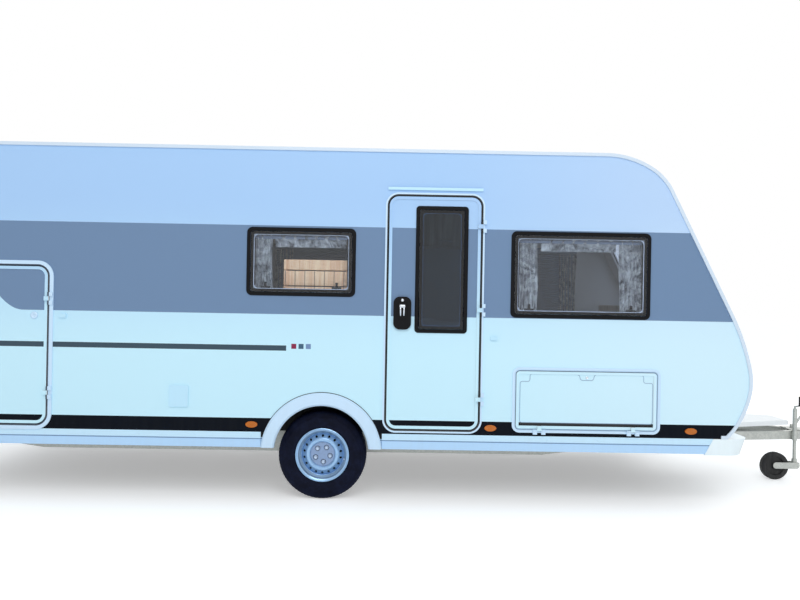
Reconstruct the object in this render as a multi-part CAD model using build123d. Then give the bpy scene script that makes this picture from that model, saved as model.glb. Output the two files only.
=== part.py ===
"""Single-axle travel caravan on a galvanised chassis, parked on its jockey wheel.

X forward, Z up, -Y is the entrance side. Every X below is measured from the axle;
save() then shifts the pieces so that the origin lies on the ground under the middle
of the overall length.
"""
import os
from math import cos, hypot, radians, sin

from build123d import *

os.makedirs("parts", exist_ok=True)

# ---------------------------------------------------------------- driving dimensions
# Shell
BODY_WIDTH = 2320          # over the side walls
WALL = 34                  # sandwich panel of walls, roof, doors and hatches
ROOF_Z = 2545
SILL_Z = 502               # foot of the walls, top of the floor
FLOOR_T = 40
REAR_X = -2950             # outer face of the rear wall
REAR_RADIUS = 190          # roof to rear wall
HALF = BODY_WIDTH / 2
INSIDE = HALF - WALL

# Nose outline from the roof down: (x, z), an arc tangent to the last stretch each time
BROW = [(2012, ROOF_Z), (2350, ROOF_Z - 96), (2500, ROOF_Z - 258)]
RAKE_FOOT = (2950, 1396)
BELLY = [(3088, 1000), (3084, 800), (3017, 628), (2920, SILL_Z)]

# Running gear
TYRE_R = 322
TYRE_W = 190
TRACK = BODY_WIDTH - 370
RIM_FLANGE_R = 195
BEAD_R = 178
VENT_HOLES = 18
VENT_RING_R = 135
VENT_R = 9
WHEEL_BOLTS = 5
BOLT_RING_R = 56
BOLT_TURN = 60             # degrees to the first bolt
AXLE_TUBE_R = 50
AXLE_TUBE = (165, 340)     # x and z of the tube's centre line

# Chassis and drawbar
RAIL_IN = 285              # wheel's middle plane to the web of a rail
RAIL_Y = TRACK / 2 - RAIL_IN
RAIL_DEPTH = 185
RAIL_END_DEPTH = 95
RAIL_T = 6
RAIL_FLANGE = 50
RAIL_X = (-2830, 2330)
RAIL_TAPER = 650           # length of the shallower stretch at each end
BEAM_H = 70
BEAM_T = 5
BEAM_W = 50
BEAM_REAR = (2250, RAIL_Y - 44, 421)    # start of a drawbar beam inside its rail: x, y, z
BEAM_FRONT = (4060, 72, 368)    # where it meets the overrun housing
BALL_X = 4420
BALL_Z = 385
BALL_SOCKET_R = 25.3
COUPLING_TIP = 52          # from the ball's centre to the front of the head

# Jockey wheel
POST_X = 3930
POST_Y = -160
POST_R = 14
SLEEVE_R = 18
JOCKEY_R = 115
JOCKEY_W = 60
TRAIL = 172

# Openings and their hinges
GAP = 8                    # leaf to the edge of its opening
LEAF_EDGE = 9              # leaf edge to the hinge line
HINGE_OUT = 16             # hinge line in front of the panel's face
KNUCKLE_R = 6
KNUCKLE_L = 30
FOOT_W = 20                # hinge foot on the leaf or the frame
FOOT_SUNK = 3              # a leaf's foot goes into its face
RUN = 0.3                  # running clearance beside a knuckle
RIM_W = 21                 # raised rim round a leaf
RIM_H = 5
TRIM_H = 8                 # frame round an opening, proud of the wall
SEAT_GAP = 5               # leaf to the stop flange behind it
SEAT_W = 12                # stop flange behind the leaf's edge
FLANGE_W = 20              # and round the opening inside
FLANGE_T = 12

# Trim
SKIRT_Z = 392
SKIRT_T = 12
ARCH_Z = 355               # height of the wheel arch's centre
ARCH_IN = 340
ARCH_OUT = 434
ARCH_RETURN = 20           # moulding turned in through the wall
ARCH_BEVEL = 12
ARCH_PROUD = 20            # arch moulding in front of the wall
EDGE_RAIL_W = 24
EDGE_RAIL_H = 10           # edge rail in front of the wall
BUMPER_OUT = 40            # behind the rear wall
LAMP_PROUD = 4


def box(x0, x1, y0, y1, z0, z1):
    """Block between two corners."""
    size = (x1 - x0, y1 - y0, z1 - z0)
    return Pos((x0 + x1) / 2, (y0 + y1) / 2, (z0 + z1) / 2) * Box(*size)


def panel(sketch, y0, y1):
    """Side-view sketch (its X and Y are the caravan's X and Z) made solid from y0 to y1."""
    return Pos(0, y1, 0) * extrude(Plane.XZ * sketch, y1 - y0)


def rounded(x0, x1, z0, z1, radius):
    """Rounded rectangle between two corners, in the sketch plane."""
    return Pos((x0 + x1) / 2, (z0 + z1) / 2) * RectangleRounded(x1 - x0, z1 - z0, radius)


def rod(a, b, radius):
    """Round bar from point a to point b."""
    line = Line(a, b)
    return Solid.extrude(Face(Wire([Edge.make_circle(radius, Plane(a, z_dir=line % 0))])), line @ 1 - line @ 0)


def both_sides(solid):
    """The piece and its mirror image on the other side."""
    return [solid, mirror(solid, about=Plane.XZ)]


# The origin is midway between the tail lamps and the coupling's tip
REAR_END = REAR_X - BUMPER_OUT - LAMP_PROUD
SHIFT = -(REAR_END + BALL_X + COUPLING_TIP) / 2


def solids_of(piece):
    """All solids in a piece or a list of pieces."""
    if isinstance(piece, (list, tuple)):
        return [solid for item in piece for solid in solids_of(item)]
    return list(piece.solids())


def save(node, *pieces):
    """Write one node; several solids share a node when they do not touch."""
    solids = [Pos(SHIFT, 0, 0) * solid for solid in solids_of(pieces)]
    export_step(solids[0] if len(solids) == 1 else Compound(children=solids), f"parts/{node}.step")


# ---------------------------------------------------------------- body outline
def body_outline():
    """Side elevation of the shell as a face."""
    rear_top = ROOF_Z - REAR_RADIUS
    edges = [Line((REAR_X, SILL_Z), (REAR_X, rear_top))]
    edges.append(TangentArc((REAR_X, rear_top), (REAR_X + REAR_RADIUS, ROOF_Z), tangent=(0, 1)))
    edges.append(Line((REAR_X + REAR_RADIUS, ROOF_Z), BROW[0]))
    for point in BROW[1:]:
        edges.append(TangentArc(edges[-1] @ 1, point, tangent=edges[-1] % 1))
    edges.append(Line(BROW[-1], RAKE_FOOT))
    for point in BELLY:
        edges.append(TangentArc(edges[-1] @ 1, point, tangent=edges[-1] % 1))
    edges.append(Line(BELLY[-1], (REAR_X, SILL_Z)))
    return make_face(edges)


OUTLINE = body_outline()
INNER = offset(OUTLINE, -WALL)


# ---------------------------------------------------------------- hinges
def knuckles(plane, side, spans):
    """Hinge barrels for one part of a hinge.

    plane: origin on the wall's face under the hinge line, x from leaf to frame,
    y along the hinge line, z outwards. side is -1 for the leaf and 1 for the frame.
    spans: (start, end) of each barrel along the hinge line.
    """
    barrels = []
    foot_in, foot_out = LEAF_EDGE + 2, LEAF_EDGE + 2 + FOOT_W
    sunk = FOOT_SUNK if side < 0 else 0
    foot_mid = (HINGE_OUT - sunk) / 2
    for start, end in spans:
        middle, length = (start + end) / 2, end - start
        barrel = Pos(0, middle, HINGE_OUT) * Rot(90, 0, 0) * Cylinder(KNUCKLE_R, length)
        foot = Pos(side * (foot_in + foot_out) / 2, middle, foot_mid) * Box(FOOT_W, length, HINGE_OUT + sunk)
        strap = Pos(side * foot_out / 2, middle, HINGE_OUT) * Box(foot_out, length, KNUCKLE_R)
        barrels.append(plane * (barrel + foot + strap))
    return barrels


def leaf_spans(stations):
    """The leaf's barrel at each station along a hinge line."""
    return [(s - KNUCKLE_L / 2, s + KNUCKLE_L / 2) for s in stations]


def frame_spans(stations):
    """The frame's two barrels either side of the leaf's."""
    inner, outer = KNUCKLE_L / 2 + RUN, KNUCKLE_L * 1.5
    return [span for s in stations for span in ((s - outer, s - inner), (s + inner, s + outer))]


# ---------------------------------------------------------------- side openings
# Leaves let into the entrance side: name, leaf x0, x1, z0, z1, corner radius,
# frame width, hinge edge and the hinge stations along that edge
SIDE_LEAVES = {
    "door": dict(x0=462, x1=1119, z0=541, z1=2206, radius=66, frame=20, hinge="front",
                 stations=(760, 1400, 2000)),
    "rear_hatch": dict(x0=-2770, x1=-1967, z0=538, z1=1657, radius=70, frame=34, hinge="front",
                       stations=(760, 1430)),
    "front_hatch": dict(x0=1392, x1=2403, z0=556, z1=968, radius=24, frame=20, hinge="bottom",
                        stations=(1560, 2235)),
}


def hinge_plane(leaf):
    """Local frame of a side leaf's hinge."""
    if leaf["hinge"] == "front":
        return Plane((leaf["x1"] + LEAF_EDGE, -HALF, 0), x_dir=(1, 0, 0), z_dir=(0, -1, 0))
    return Plane((0, -HALF, leaf["z0"] - LEAF_EDGE), x_dir=(0, 0, -1), z_dir=(0, -1, 0))


def leaf_sketch(leaf, grow):
    """Outline of a leaf grown by a margin."""
    return rounded(leaf["x0"] - grow, leaf["x1"] + grow, leaf["z0"] - grow, leaf["z1"] + grow,
                   leaf["radius"] + grow)


def leaf_solid(leaf):
    """Sandwich leaf with a raised rim round its face and its hinge barrels."""
    slab = panel(leaf_sketch(leaf, 0), -HALF, -INSIDE)
    rim = panel(leaf_sketch(leaf, 0) - leaf_sketch(leaf, -RIM_W), -HALF - RIM_H, -HALF)
    solid = slab + rim
    for barrel in knuckles(hinge_plane(leaf), -1, leaf_spans(leaf["stations"])):
        solid = solid + barrel
    return solid


def leaf_frame(leaf):
    """Trim ring outside with the fixed hinge barrels, and the stop flange inside."""
    ring = panel(leaf_sketch(leaf, GAP + leaf["frame"]) - leaf_sketch(leaf, GAP), -HALF - TRIM_H, -HALF)
    for barrel in knuckles(hinge_plane(leaf), 1, frame_spans(leaf["stations"])):
        ring = ring + barrel
    flange = panel(leaf_sketch(leaf, GAP + FLANGE_W) - leaf_sketch(leaf, GAP), -INSIDE, -INSIDE + FLANGE_T)
    lip = panel(leaf_sketch(leaf, GAP) - leaf_sketch(leaf, -SEAT_W), -INSIDE + SEAT_GAP, -INSIDE + FLANGE_T)
    return [ring, flange + lip]


# ---------------------------------------------------------------- windows
# Acrylic panes in a surround: x0, x1, z0, z1 on the side walls
SIDE_WINDOWS = [
    dict(side=-1, x0=-555, x1=225, z0=1478, z1=1968),
    dict(side=-1, x0=1340, x1=2347, z0=1350, z1=1972),
    dict(side=1, x0=1340, x1=2347, z0=1350, z1=1972),
    dict(side=1, x0=-700, x1=500, z0=1400, z1=1972),
    dict(side=1, x0=-2700, x1=-2060, z0=1450, z1=1972),
]
SURROUND = 26              # width of the surround
SURROUND_H = 9             # proud of the wall
PANE_H = 13
PANE_R = 40                # corner radius of a surround
PANE_R_IN = 14             # less at the pane's edge
HOLE_R_IN = 20             # less at the hole
RING_BEVEL = 5
PANE_BEVEL = 6
LANDING = 20               # pane lapping the wall round the hole


def window(plane, width, height, radius=PANE_R):
    """Hole cutter, surround ring and pane of one window, on a plane at its centre."""
    outer = RectangleRounded(width, height, radius)
    inner = RectangleRounded(width - 2 * SURROUND, height - 2 * SURROUND, radius - PANE_R_IN)
    hole_w = width - 2 * (SURROUND + LANDING)
    hole_h = height - 2 * (SURROUND + LANDING)
    hole = RectangleRounded(hole_w, hole_h, radius - HOLE_R_IN)
    cutter = plane * Pos(0, 0, -2 * WALL) * extrude(hole, 3 * WALL)
    ring = extrude(outer - inner, SURROUND_H)
    ring = chamfer(ring.faces().sort_by(Axis.Z)[-1].outer_wire().edges(), RING_BEVEL)
    pane = extrude(inner, PANE_H)
    pane = chamfer(pane.faces().sort_by(Axis.Z)[-1].outer_wire().edges(), PANE_BEVEL)
    return cutter, plane * ring, plane * pane


def side_plane(side, x, z):
    """Plane on a side wall's face, z outwards, y up."""
    return Plane((x, side * HALF, z), x_dir=(-side, 0, 0), z_dir=(0, side, 0))


window_cuts = {-1: [], 1: []}
surrounds = []
panes = []
for opening in SIDE_WINDOWS:
    centre = side_plane(opening["side"], (opening["x0"] + opening["x1"]) / 2,
                        (opening["z0"] + opening["z1"]) / 2)
    cut, ring, pane = window(centre, opening["x1"] - opening["x0"], opening["z1"] - opening["z0"])
    window_cuts[opening["side"]].append(cut)
    surrounds.append(ring)
    panes.append(pane)

# Rake of the front wall: unit vectors down the slope and out of it
RAKE_LEN = hypot(RAKE_FOOT[0] - BROW[-1][0], RAKE_FOOT[1] - BROW[-1][1])
RAKE_OUT = ((BROW[-1][1] - RAKE_FOOT[1]) / RAKE_LEN, 0, (RAKE_FOOT[0] - BROW[-1][0]) / RAKE_LEN)
FRONT_WINDOW = dict(width=1860, height=760)
REAR_WINDOW = dict(width=1240, height=560, z=1700)
rake_plane = Plane(((BROW[-1][0] + RAKE_FOOT[0]) / 2, 0, (BROW[-1][1] + RAKE_FOOT[1]) / 2),
                   x_dir=(0, 1, 0), z_dir=RAKE_OUT)
front_cut, ring, pane = window(rake_plane, FRONT_WINDOW["width"], FRONT_WINDOW["height"])
surrounds.append(ring)
panes.append(pane)
rear_plane = Plane((REAR_X, 0, REAR_WINDOW["z"]), x_dir=(0, -1, 0), z_dir=(-1, 0, 0))
rear_cut, ring, pane = window(rear_plane, REAR_WINDOW["width"], REAR_WINDOW["height"])
surrounds.append(ring)
panes.append(pane)
save("window_surrounds", *surrounds)
save("window_panes", *panes)


# ---------------------------------------------------------------- shell
arch_cut = Pos(0, ARCH_Z) * Circle(ARCH_IN + ARCH_RETURN)
right = panel(OUTLINE - arch_cut, -HALF, -INSIDE)
for leaf in SIDE_LEAVES.values():
    right = right - panel(leaf_sketch(leaf, GAP), -HALF - 1, -INSIDE + 1)
for cut in window_cuts[-1]:
    right = right - cut
save("right_wall", right)
left = panel(OUTLINE - arch_cut, INSIDE, HALF)
for cut in window_cuts[1]:
    left = left - cut
save("left_wall", left)

SHELL = panel(OUTLINE - INNER, -INSIDE, INSIDE)
LONG = BALL_X - REAR_X      # farther than anything from the axle
above = box(-LONG, LONG, -INSIDE, INSIDE, BROW[-1][1], 2 * ROOF_Z)
rear_top = ROOF_Z - REAR_RADIUS
behind = box(-LONG, 0, -INSIDE, INSIDE, 0, rear_top)
save("roof_panel", (SHELL & above) - behind)
rear = SHELL & box(-LONG, REAR_X + WALL, -INSIDE, INSIDE, SILL_Z, rear_top)
save("rear_wall", rear - rear_cut)

# Gas locker lid: the curved lower front, hinged along the foot of the rake
LID_FOOT = 600
LID_HALF = 760
LID_FLANGE = 15            # stop flange round the opening, and its thickness
LID_STATIONS = (-520, 520)
FAR = 3000
RAKE_UP = (-RAKE_OUT[2], 0, RAKE_OUT[0])
lid_plane = Plane((RAKE_FOOT[0], 0, RAKE_FOOT[1]), x_dir=RAKE_UP, z_dir=RAKE_OUT)
sill_strip = box(-LONG, BELLY[-1][0] - 2 * WALL, -HALF, HALF, 0, SILL_Z + WALL)


def lid_region(grow):
    """Space of the lid grown by a margin, below the hinge line."""
    below = lid_plane * box(-FAR, grow - LEAF_EDGE, -LID_HALF - grow, LID_HALF + grow, -FAR, FAR)
    return below & box(0, 2 * FAR, -HALF, HALF, LID_FOOT - grow, ROOF_Z)


def lining(depth_out, depth_in):
    """Layer of the front at a depth behind its face."""
    return panel(offset(OUTLINE, -depth_out) - offset(OUTLINE, -depth_in), -INSIDE, INSIDE)


front = (SHELL & box(0, LONG, -INSIDE, INSIDE, SILL_Z, BROW[-1][1])) - sill_strip - front_cut
flange = lining(WALL, WALL + LID_FLANGE) & (lid_region(GAP + LID_FLANGE) - lid_region(GAP))
lip = lining(WALL + SEAT_GAP, WALL + LID_FLANGE) & (lid_region(GAP) - lid_region(-SEAT_W))
lid = front & lid_region(0)
front = front - lid_region(GAP) + flange + lip
for barrel in knuckles(lid_plane, 1, frame_spans(LID_STATIONS)):
    front = front + barrel
for barrel in knuckles(lid_plane, -1, leaf_spans(LID_STATIONS)):
    lid = lid + barrel
save("front_wall", front)
save("locker_lid", lid)

door = SIDE_LEAVES["door"]
save("door_frame", leaf_frame(door))
save("hatch_frames", leaf_frame(SIDE_LEAVES["rear_hatch"]), leaf_frame(SIDE_LEAVES["front_hatch"]))
save("rear_hatch", leaf_solid(SIDE_LEAVES["rear_hatch"]))
save("front_hatch", leaf_solid(SIDE_LEAVES["front_hatch"]))

# Entrance door: glazed leaf and its lock plate
DOOR_GLASS = dict(x0=653, x1=1030, z0=1230, z1=2140)
DOOR_GLASS_R = 26
DOOR_LOCK = dict(x0=501, x1=628, z0=1252, z1=1487)
LOCK_R = 45
LOCK_H = 16
LOCK_FLOOR = 4             # plate left under the recess
RECESS = dict(side=24, foot=70, head=34, radius=30)
LEVER = dict(side=30, z0=1400, z1=1424)
glass_centre = side_plane(-1, (DOOR_GLASS["x0"] + DOOR_GLASS["x1"]) / 2,
                          (DOOR_GLASS["z0"] + DOOR_GLASS["z1"]) / 2)
glass_size = (DOOR_GLASS["x1"] - DOOR_GLASS["x0"], DOOR_GLASS["z1"] - DOOR_GLASS["z0"])
cut, ring, pane = window(glass_centre, *glass_size, DOOR_GLASS_R)
save("entrance_door", leaf_solid(door) - cut)
save("door_pane", pane)
lock_sketch = rounded(DOOR_LOCK["x0"], DOOR_LOCK["x1"], DOOR_LOCK["z0"], DOOR_LOCK["z1"], LOCK_R)
lock_recess = rounded(DOOR_LOCK["x0"] + RECESS["side"], DOOR_LOCK["x1"] - RECESS["side"],
                      DOOR_LOCK["z0"] + RECESS["foot"], DOOR_LOCK["z1"] - RECESS["head"], RECESS["radius"])
recess = panel(lock_recess, -HALF - LOCK_H, -HALF - LOCK_FLOOR)
lock = panel(lock_sketch, -HALF - LOCK_H, -HALF) - recess
lever = box(DOOR_LOCK["x0"] + LEVER["side"], DOOR_LOCK["x1"] - LEVER["side"],
            -HALF - LOCK_H + 2, -HALF - LOCK_FLOOR, LEVER["z0"], LEVER["z1"])
save("door_trim", ring, lock + lever)

# ---------------------------------------------------------------- floor and wheel boxes
WELL_R = 370
WELL_T = 6
WELL_CLEAR = 25            # wheel box beside the tyre
WELL_IN = TRACK / 2 - TYRE_W / 2 - WELL_CLEAR
floor_bottom = SILL_Z - FLOOR_T
floor = box(REAR_X, BELLY[-1][0], -HALF + SKIRT_T, HALF - SKIRT_T, floor_bottom, SILL_Z)
well = Pos(0, ARCH_Z) * Circle(WELL_R + WELL_T)
above_floor = Pos(0, floor_bottom + FAR / 2) * Rectangle(FAR, FAR)
for side in (panel(well, WELL_IN - WELL_T, HALF), panel(well, -HALF, -WELL_IN + WELL_T)):
    floor = floor - side
save("floor_panel", floor)
crown = (well - Pos(0, ARCH_Z) * Circle(WELL_R)) & above_floor
wheel_box = panel(crown, WELL_IN, INSIDE) + panel(well & above_floor, WELL_IN - WELL_T, WELL_IN)
save("wheel_boxes", both_sides(wheel_box))

# ---------------------------------------------------------------- outside trim
above_skirt = Pos(0, SKIRT_Z + FAR / 2) * Rectangle(FAR, FAR)
arch = Pos(0, ARCH_Z)
flare = (arch * Circle(ARCH_OUT) - arch * Circle(ARCH_IN)) & above_skirt
flare = panel(flare, HALF, HALF + ARCH_PROUD)
flare = chamfer(flare.faces().sort_by(Axis.Y)[-1].outer_wire().edges().filter_by(GeomType.CIRCLE), ARCH_BEVEL)
returned = (arch * Circle(ARCH_IN + ARCH_RETURN) - arch * Circle(ARCH_IN)) & above_skirt
save("arch_mouldings", both_sides(flare + panel(returned, INSIDE, HALF)))

GROOVE = (449, 457, 4)     # z from, z to and depth of the skirt's groove
SKIRT_LIP = (40, 5)        # depth and thickness of the edge turned in at its foot
# Front corner caps, (z, x of the rear edge, x of the front face) at their top and foot
CAP_TOP = (SILL_Z, 2820, 3098)
CAP_LOW = (384, 2756, 3056)
CAP_R = 130
CAP_T = 10
CAP_PROUD = 6
CAP_REACH = 560            # inner end, from the middle
CAP_FRONT = (CAP_TOP[1] + CAP_TOP[2]) / 2


def cap_rear(z):
    """Rear edge of a cap at a height."""
    share = (z - CAP_LOW[0]) / (CAP_TOP[0] - CAP_LOW[0])
    return CAP_LOW[1] + share * (CAP_TOP[1] - CAP_LOW[1])


skirts = []
for x0, x1 in ((REAR_X, -ARCH_OUT), (ARCH_OUT, CAP_FRONT)):
    plank = box(x0, x1, HALF - SKIRT_T, HALF, SKIRT_Z, SILL_Z)
    plank = plank + box(x0, x1, HALF - SKIRT_LIP[0], HALF, SKIRT_Z, SKIRT_Z + SKIRT_LIP[1])
    skirts.append(plank - box(x0, x1, HALF - GROOVE[2], HALF, GROOVE[0], GROOVE[1]))
rear_edge = [(cap_rear(z), z) for z in (CAP_LOW[0], SILL_Z)]
ahead = make_face(Polyline(*rear_edge, (CAP_FRONT, SILL_Z), (CAP_FRONT, CAP_LOW[0]), close=True))
skirts[1] = skirts[1] - panel(ahead, INSIDE, HALF)
save("side_skirts", *[both_sides(skirt) for skirt in skirts])


def cap_section(row, inset):
    """Plan section of the caps' common outline."""
    z, rear_x, front_x = row
    length = front_x - rear_x - inset
    return Pos(rear_x + length / 2, 0, z) * Rectangle(length, 2 * (HALF + CAP_PROUD - inset))


def cap_body(inset, top_drop):
    """Block of both caps inset by a wall thickness, with round outer corners."""
    z, *edges = CAP_TOP
    block = loft([cap_section(CAP_LOW, inset).face(), cap_section((z - top_drop, *edges), inset).face()])
    upright = [e for e in block.edges() if abs((e @ 0).Z - (e @ 1).Z) > CAP_R / 2]
    return fillet([e for e in upright if (e @ 0).X > CAP_FRONT], CAP_R - inset)


caps = cap_body(0, 0) - cap_body(CAP_T, CAP_T)
caps = caps - box(0, BELLY[-1][0], -HALF + SKIRT_T, HALF - SKIRT_T, 0, SILL_Z + 1)
caps = caps - box(0, LONG, -CAP_REACH, CAP_REACH, 0, LONG)
save("corner_caps", caps)

ring = OUTLINE - offset(OUTLINE, -EDGE_RAIL_W)
EDGE_RAIL_RUN = 45         # rail turned under at each end of the sill
low_strip = Rectangle(BELLY[-1][0] - REAR_X - 2 * EDGE_RAIL_RUN, 2 * EDGE_RAIL_W + 2)
low_strip = Pos((REAR_X + BELLY[-1][0]) / 2, SILL_Z) * low_strip
save("edge_rails", both_sides(panel(ring - low_strip, HALF, HALF + EDGE_RAIL_H)))

# Rear lamp carrier with a lamp cluster let into each end
LAMP = dict(y0=HALF - 270, y1=HALF - 50, z0=468, z1=598, sunk=8)
CARRIER = dict(y=HALF - 10, z0=400, z1=640, radius=30)
carrier = box(REAR_X - BUMPER_OUT, REAR_X, -CARRIER["y"], CARRIER["y"], CARRIER["z0"], CARRIER["z1"])
carrier = fillet(carrier.edges().filter_by(Axis.Z).group_by(Axis.X)[0], CARRIER["radius"])
lamp = box(REAR_END, REAR_X - LAMP["sunk"], LAMP["y0"], LAMP["y1"], LAMP["z0"], LAMP["z1"])
lamps = both_sides(lamp)
save("lamp_carrier", carrier - lamps[0] - lamps[1])
save("tail_lamps", *lamps)

# Side marker lamps: x, and their common height
MARKERS_X = (-500, 1210, 2655)
MARKER = dict(w=85, h=45, z=555, proud=9)
markers = []
for x in MARKERS_X:
    lens = Pos(x, MARKER["z"]) * Ellipse(MARKER["w"] / 2, MARKER["h"] / 2)
    markers += both_sides(panel(lens, HALF, HALF + MARKER["proud"]))
save("side_markers", *markers)

# Roof: rooflight and mushroom vent
ROOFLIGHT = dict(x=-1420, size=460, radius=60, height=55, edge=24)
MUSHROOM = dict(x=-265, y=-420, radius=105, height=44, edge=18)
rooflight = RectangleRounded(ROOFLIGHT["size"], ROOFLIGHT["size"], ROOFLIGHT["radius"])
rooflight = Pos(ROOFLIGHT["x"], 0, ROOF_Z) * extrude(rooflight, ROOFLIGHT["height"])
rooflight = fillet(rooflight.faces().sort_by(Axis.Z)[-1].outer_wire().edges(), ROOFLIGHT["edge"])
mushroom = Cylinder(MUSHROOM["radius"], MUSHROOM["height"])
mushroom = Pos(MUSHROOM["x"], MUSHROOM["y"], ROOF_Z + MUSHROOM["height"] / 2) * mushroom
mushroom = fillet(mushroom.faces().sort_by(Axis.Z)[-1].outer_wire().edges(), MUSHROOM["edge"])
save("roof_vents", rooflight, mushroom)

# Entrance-side fittings: mains flap, rain gutter over the door and door catches
FLAP = dict(x0=-1092, x1=-954, z0=672, z1=828, radius=14, proud=10)
GUTTER = dict(over=12, z=2252, out=14, foot=10, lip=20, wall=4)
CATCH = dict(w=50, h=28, radius=8, proud=14)
CATCHES = ((1225, 1200), (-1856, 1309))
flap = rounded(FLAP["x0"], FLAP["x1"], FLAP["z0"], FLAP["z1"], FLAP["radius"])
flap = panel(flap, -HALF - FLAP["proud"], -HALF)
gutter_x = (door["x0"] - GUTTER["over"], door["x1"] + GUTTER["over"])
gutter_face = -HALF - GUTTER["out"]
gutter_z = GUTTER["z"]
gutter = box(*gutter_x, gutter_face, -HALF, gutter_z, gutter_z + GUTTER["foot"])
gutter = gutter + box(*gutter_x, gutter_face, gutter_face + GUTTER["wall"], gutter_z, gutter_z + GUTTER["lip"])
catch = RectangleRounded(CATCH["w"], CATCH["h"], CATCH["radius"])
catches = [panel(Pos(x, z) * catch, -HALF - CATCH["proud"], -HALF) for x, z in CATCHES]
save("side_fittings", flap, gutter, *catches)

# Far-side services: refrigerator grilles and the cassette hatch
GRILLE = dict(x=-1150, w=480, h=240, radius=14, plate=6, slats=6, margin=20, slat_h=12, slat_out=14)
GRILLE_Z = (900, 1560)
CASSETTE = dict(x0=-1980, x1=-1600, z0=560, z1=880, radius=20, proud=12)
services = []
slat_half = GRILLE["w"] / 2 - GRILLE["margin"]
slat_pitch = (GRILLE["h"] - 2 * GRILLE["margin"]) / GRILLE["slats"]
for z in GRILLE_Z:
    sheet = Pos(GRILLE["x"], z) * RectangleRounded(GRILLE["w"], GRILLE["h"], GRILLE["radius"])
    plate = panel(sheet, HALF, HALF + GRILLE["plate"])
    for i in range(GRILLE["slats"]):
        foot = z - GRILLE["h"] / 2 + GRILLE["margin"] + (i + 0.2) * slat_pitch
        plate = plate + box(GRILLE["x"] - slat_half, GRILLE["x"] + slat_half, HALF + GRILLE["plate"] - 1,
                            HALF + GRILLE["slat_out"], foot, foot + GRILLE["slat_h"])
    services.append(plate)
cassette = rounded(CASSETTE["x0"], CASSETTE["x1"], CASSETTE["z0"], CASSETTE["z1"], CASSETTE["radius"])
services.append(panel(cassette, HALF, HALF + CASSETTE["proud"]))
save("service_covers", *services)

# Grab handles on the nose and the tail
GRABS = [
    dict(x=BELLY[0][0], z0=900, z1=1060, out=60),
    dict(x=REAR_X, z0=760, z1=920, out=-32),
]
GRAB_Y = HALF - 200
GRAB_R = 11
GRAB_SINK = 0.12           # share of its reach that a foot goes into the wall
handles = []
for grab in GRABS:
    bar_x = grab["x"] + grab["out"]
    for y in (-GRAB_Y, GRAB_Y):
        bar = rod((bar_x, y, grab["z0"]), (bar_x, y, grab["z1"]), GRAB_R)
        for z in (grab["z0"] + GRAB_R, grab["z1"] - GRAB_R):
            bar = bar + rod((grab["x"] - grab["out"] * GRAB_SINK, y, z), (bar_x, y, z), GRAB_R)
        handles.append(bar)
save("grab_handles", *[h - SHELL for h in handles])


# ---------------------------------------------------------------- chassis
def rail_profile():
    """Side view of a chassis rail, shallower towards both ends."""
    x0, x1 = RAIL_X
    low, end = floor_bottom - RAIL_DEPTH, floor_bottom - RAIL_END_DEPTH
    corners = [(x0, floor_bottom), (x0, end), (x0 + RAIL_TAPER, low), (x1 - RAIL_TAPER, low), (x1, end),
               (x1, floor_bottom)]
    return make_face(Polyline(*corners, close=True))


profile = rail_profile()
mid_z = floor_bottom - RAIL_DEPTH / 2
web = profile - Pos(*AXLE_TUBE) * Circle(AXLE_TUBE_R + RUN)
HOLE_R = 46
HOLE_PITCH = 300
HOLE_X = [x for x in range(-1950, 1600, HOLE_PITCH) if abs(x - AXLE_TUBE[0]) > HOLE_PITCH / 2]
for x in HOLE_X:
    web = web - Pos(x, mid_z) * Circle(HOLE_R)
flanges = profile - offset(profile, -RAIL_T)
span = Pos((RAIL_X[0] + RAIL_X[1]) / 2, mid_z) * Rectangle(RAIL_X[1] - RAIL_X[0] - 2 * RAIL_T, 2 * RAIL_DEPTH)
rail = panel(web, RAIL_Y - RAIL_T, RAIL_Y) + panel(flanges & span, RAIL_Y - RAIL_FLANGE, RAIL_Y)
STEADY_Y = RAIL_Y - 100
STEADY_Z = 330
STEADY_X = (-2250, 1560)   # pivots of the rear and front corner steadies
EAR_T = 5.6
EAR_HALF = 30              # half an ear's length
EAR_DROP = 20              # ear below the pivot
EAR_GAP = 18.4             # steady's middle plane to the inner face of an ear
for x in STEADY_X:
    for y in (STEADY_Y - EAR_GAP - EAR_T, STEADY_Y + EAR_GAP):
        rail = rail + box(x - EAR_HALF, x + EAR_HALF, y, y + EAR_T, STEADY_Z - EAR_DROP, floor_bottom)
    rail = rail + box(x - EAR_HALF, x + EAR_HALF, STEADY_Y - EAR_GAP - EAR_T, RAIL_Y - 1,
                      floor_bottom - RAIL_T, floor_bottom)
save("chassis_rails", both_sides(rail))

CROSS_X = (-2700, -1100, 1000)
CROSS_R = 22
inside_rails = RAIL_Y - RAIL_T
cross_z = floor_bottom - RAIL_END_DEPTH / 2
save("cross_members", [rod((x, -inside_rails, cross_z), (x, inside_rails, cross_z), CROSS_R) for x in CROSS_X])

# Drawbar: two channel beams running together from inside the rails
def beam():
    """One drawbar beam, open towards the middle."""
    start, end = Vector(*BEAM_REAR), Vector(*BEAM_FRONT)
    run = end - start
    plane = Plane(start, x_dir=Vector(0, 0, 1).cross(run).normalized(), z_dir=run.normalized())
    section = Rectangle(BEAM_W, BEAM_H) - Pos(-BEAM_T, 0) * Rectangle(BEAM_W, BEAM_H - 2 * BEAM_T)
    return extrude(plane * section, run.length)


beam_left, beam_right = both_sides(beam())
save("drawbar_beams", beam_left, beam_right)

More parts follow.
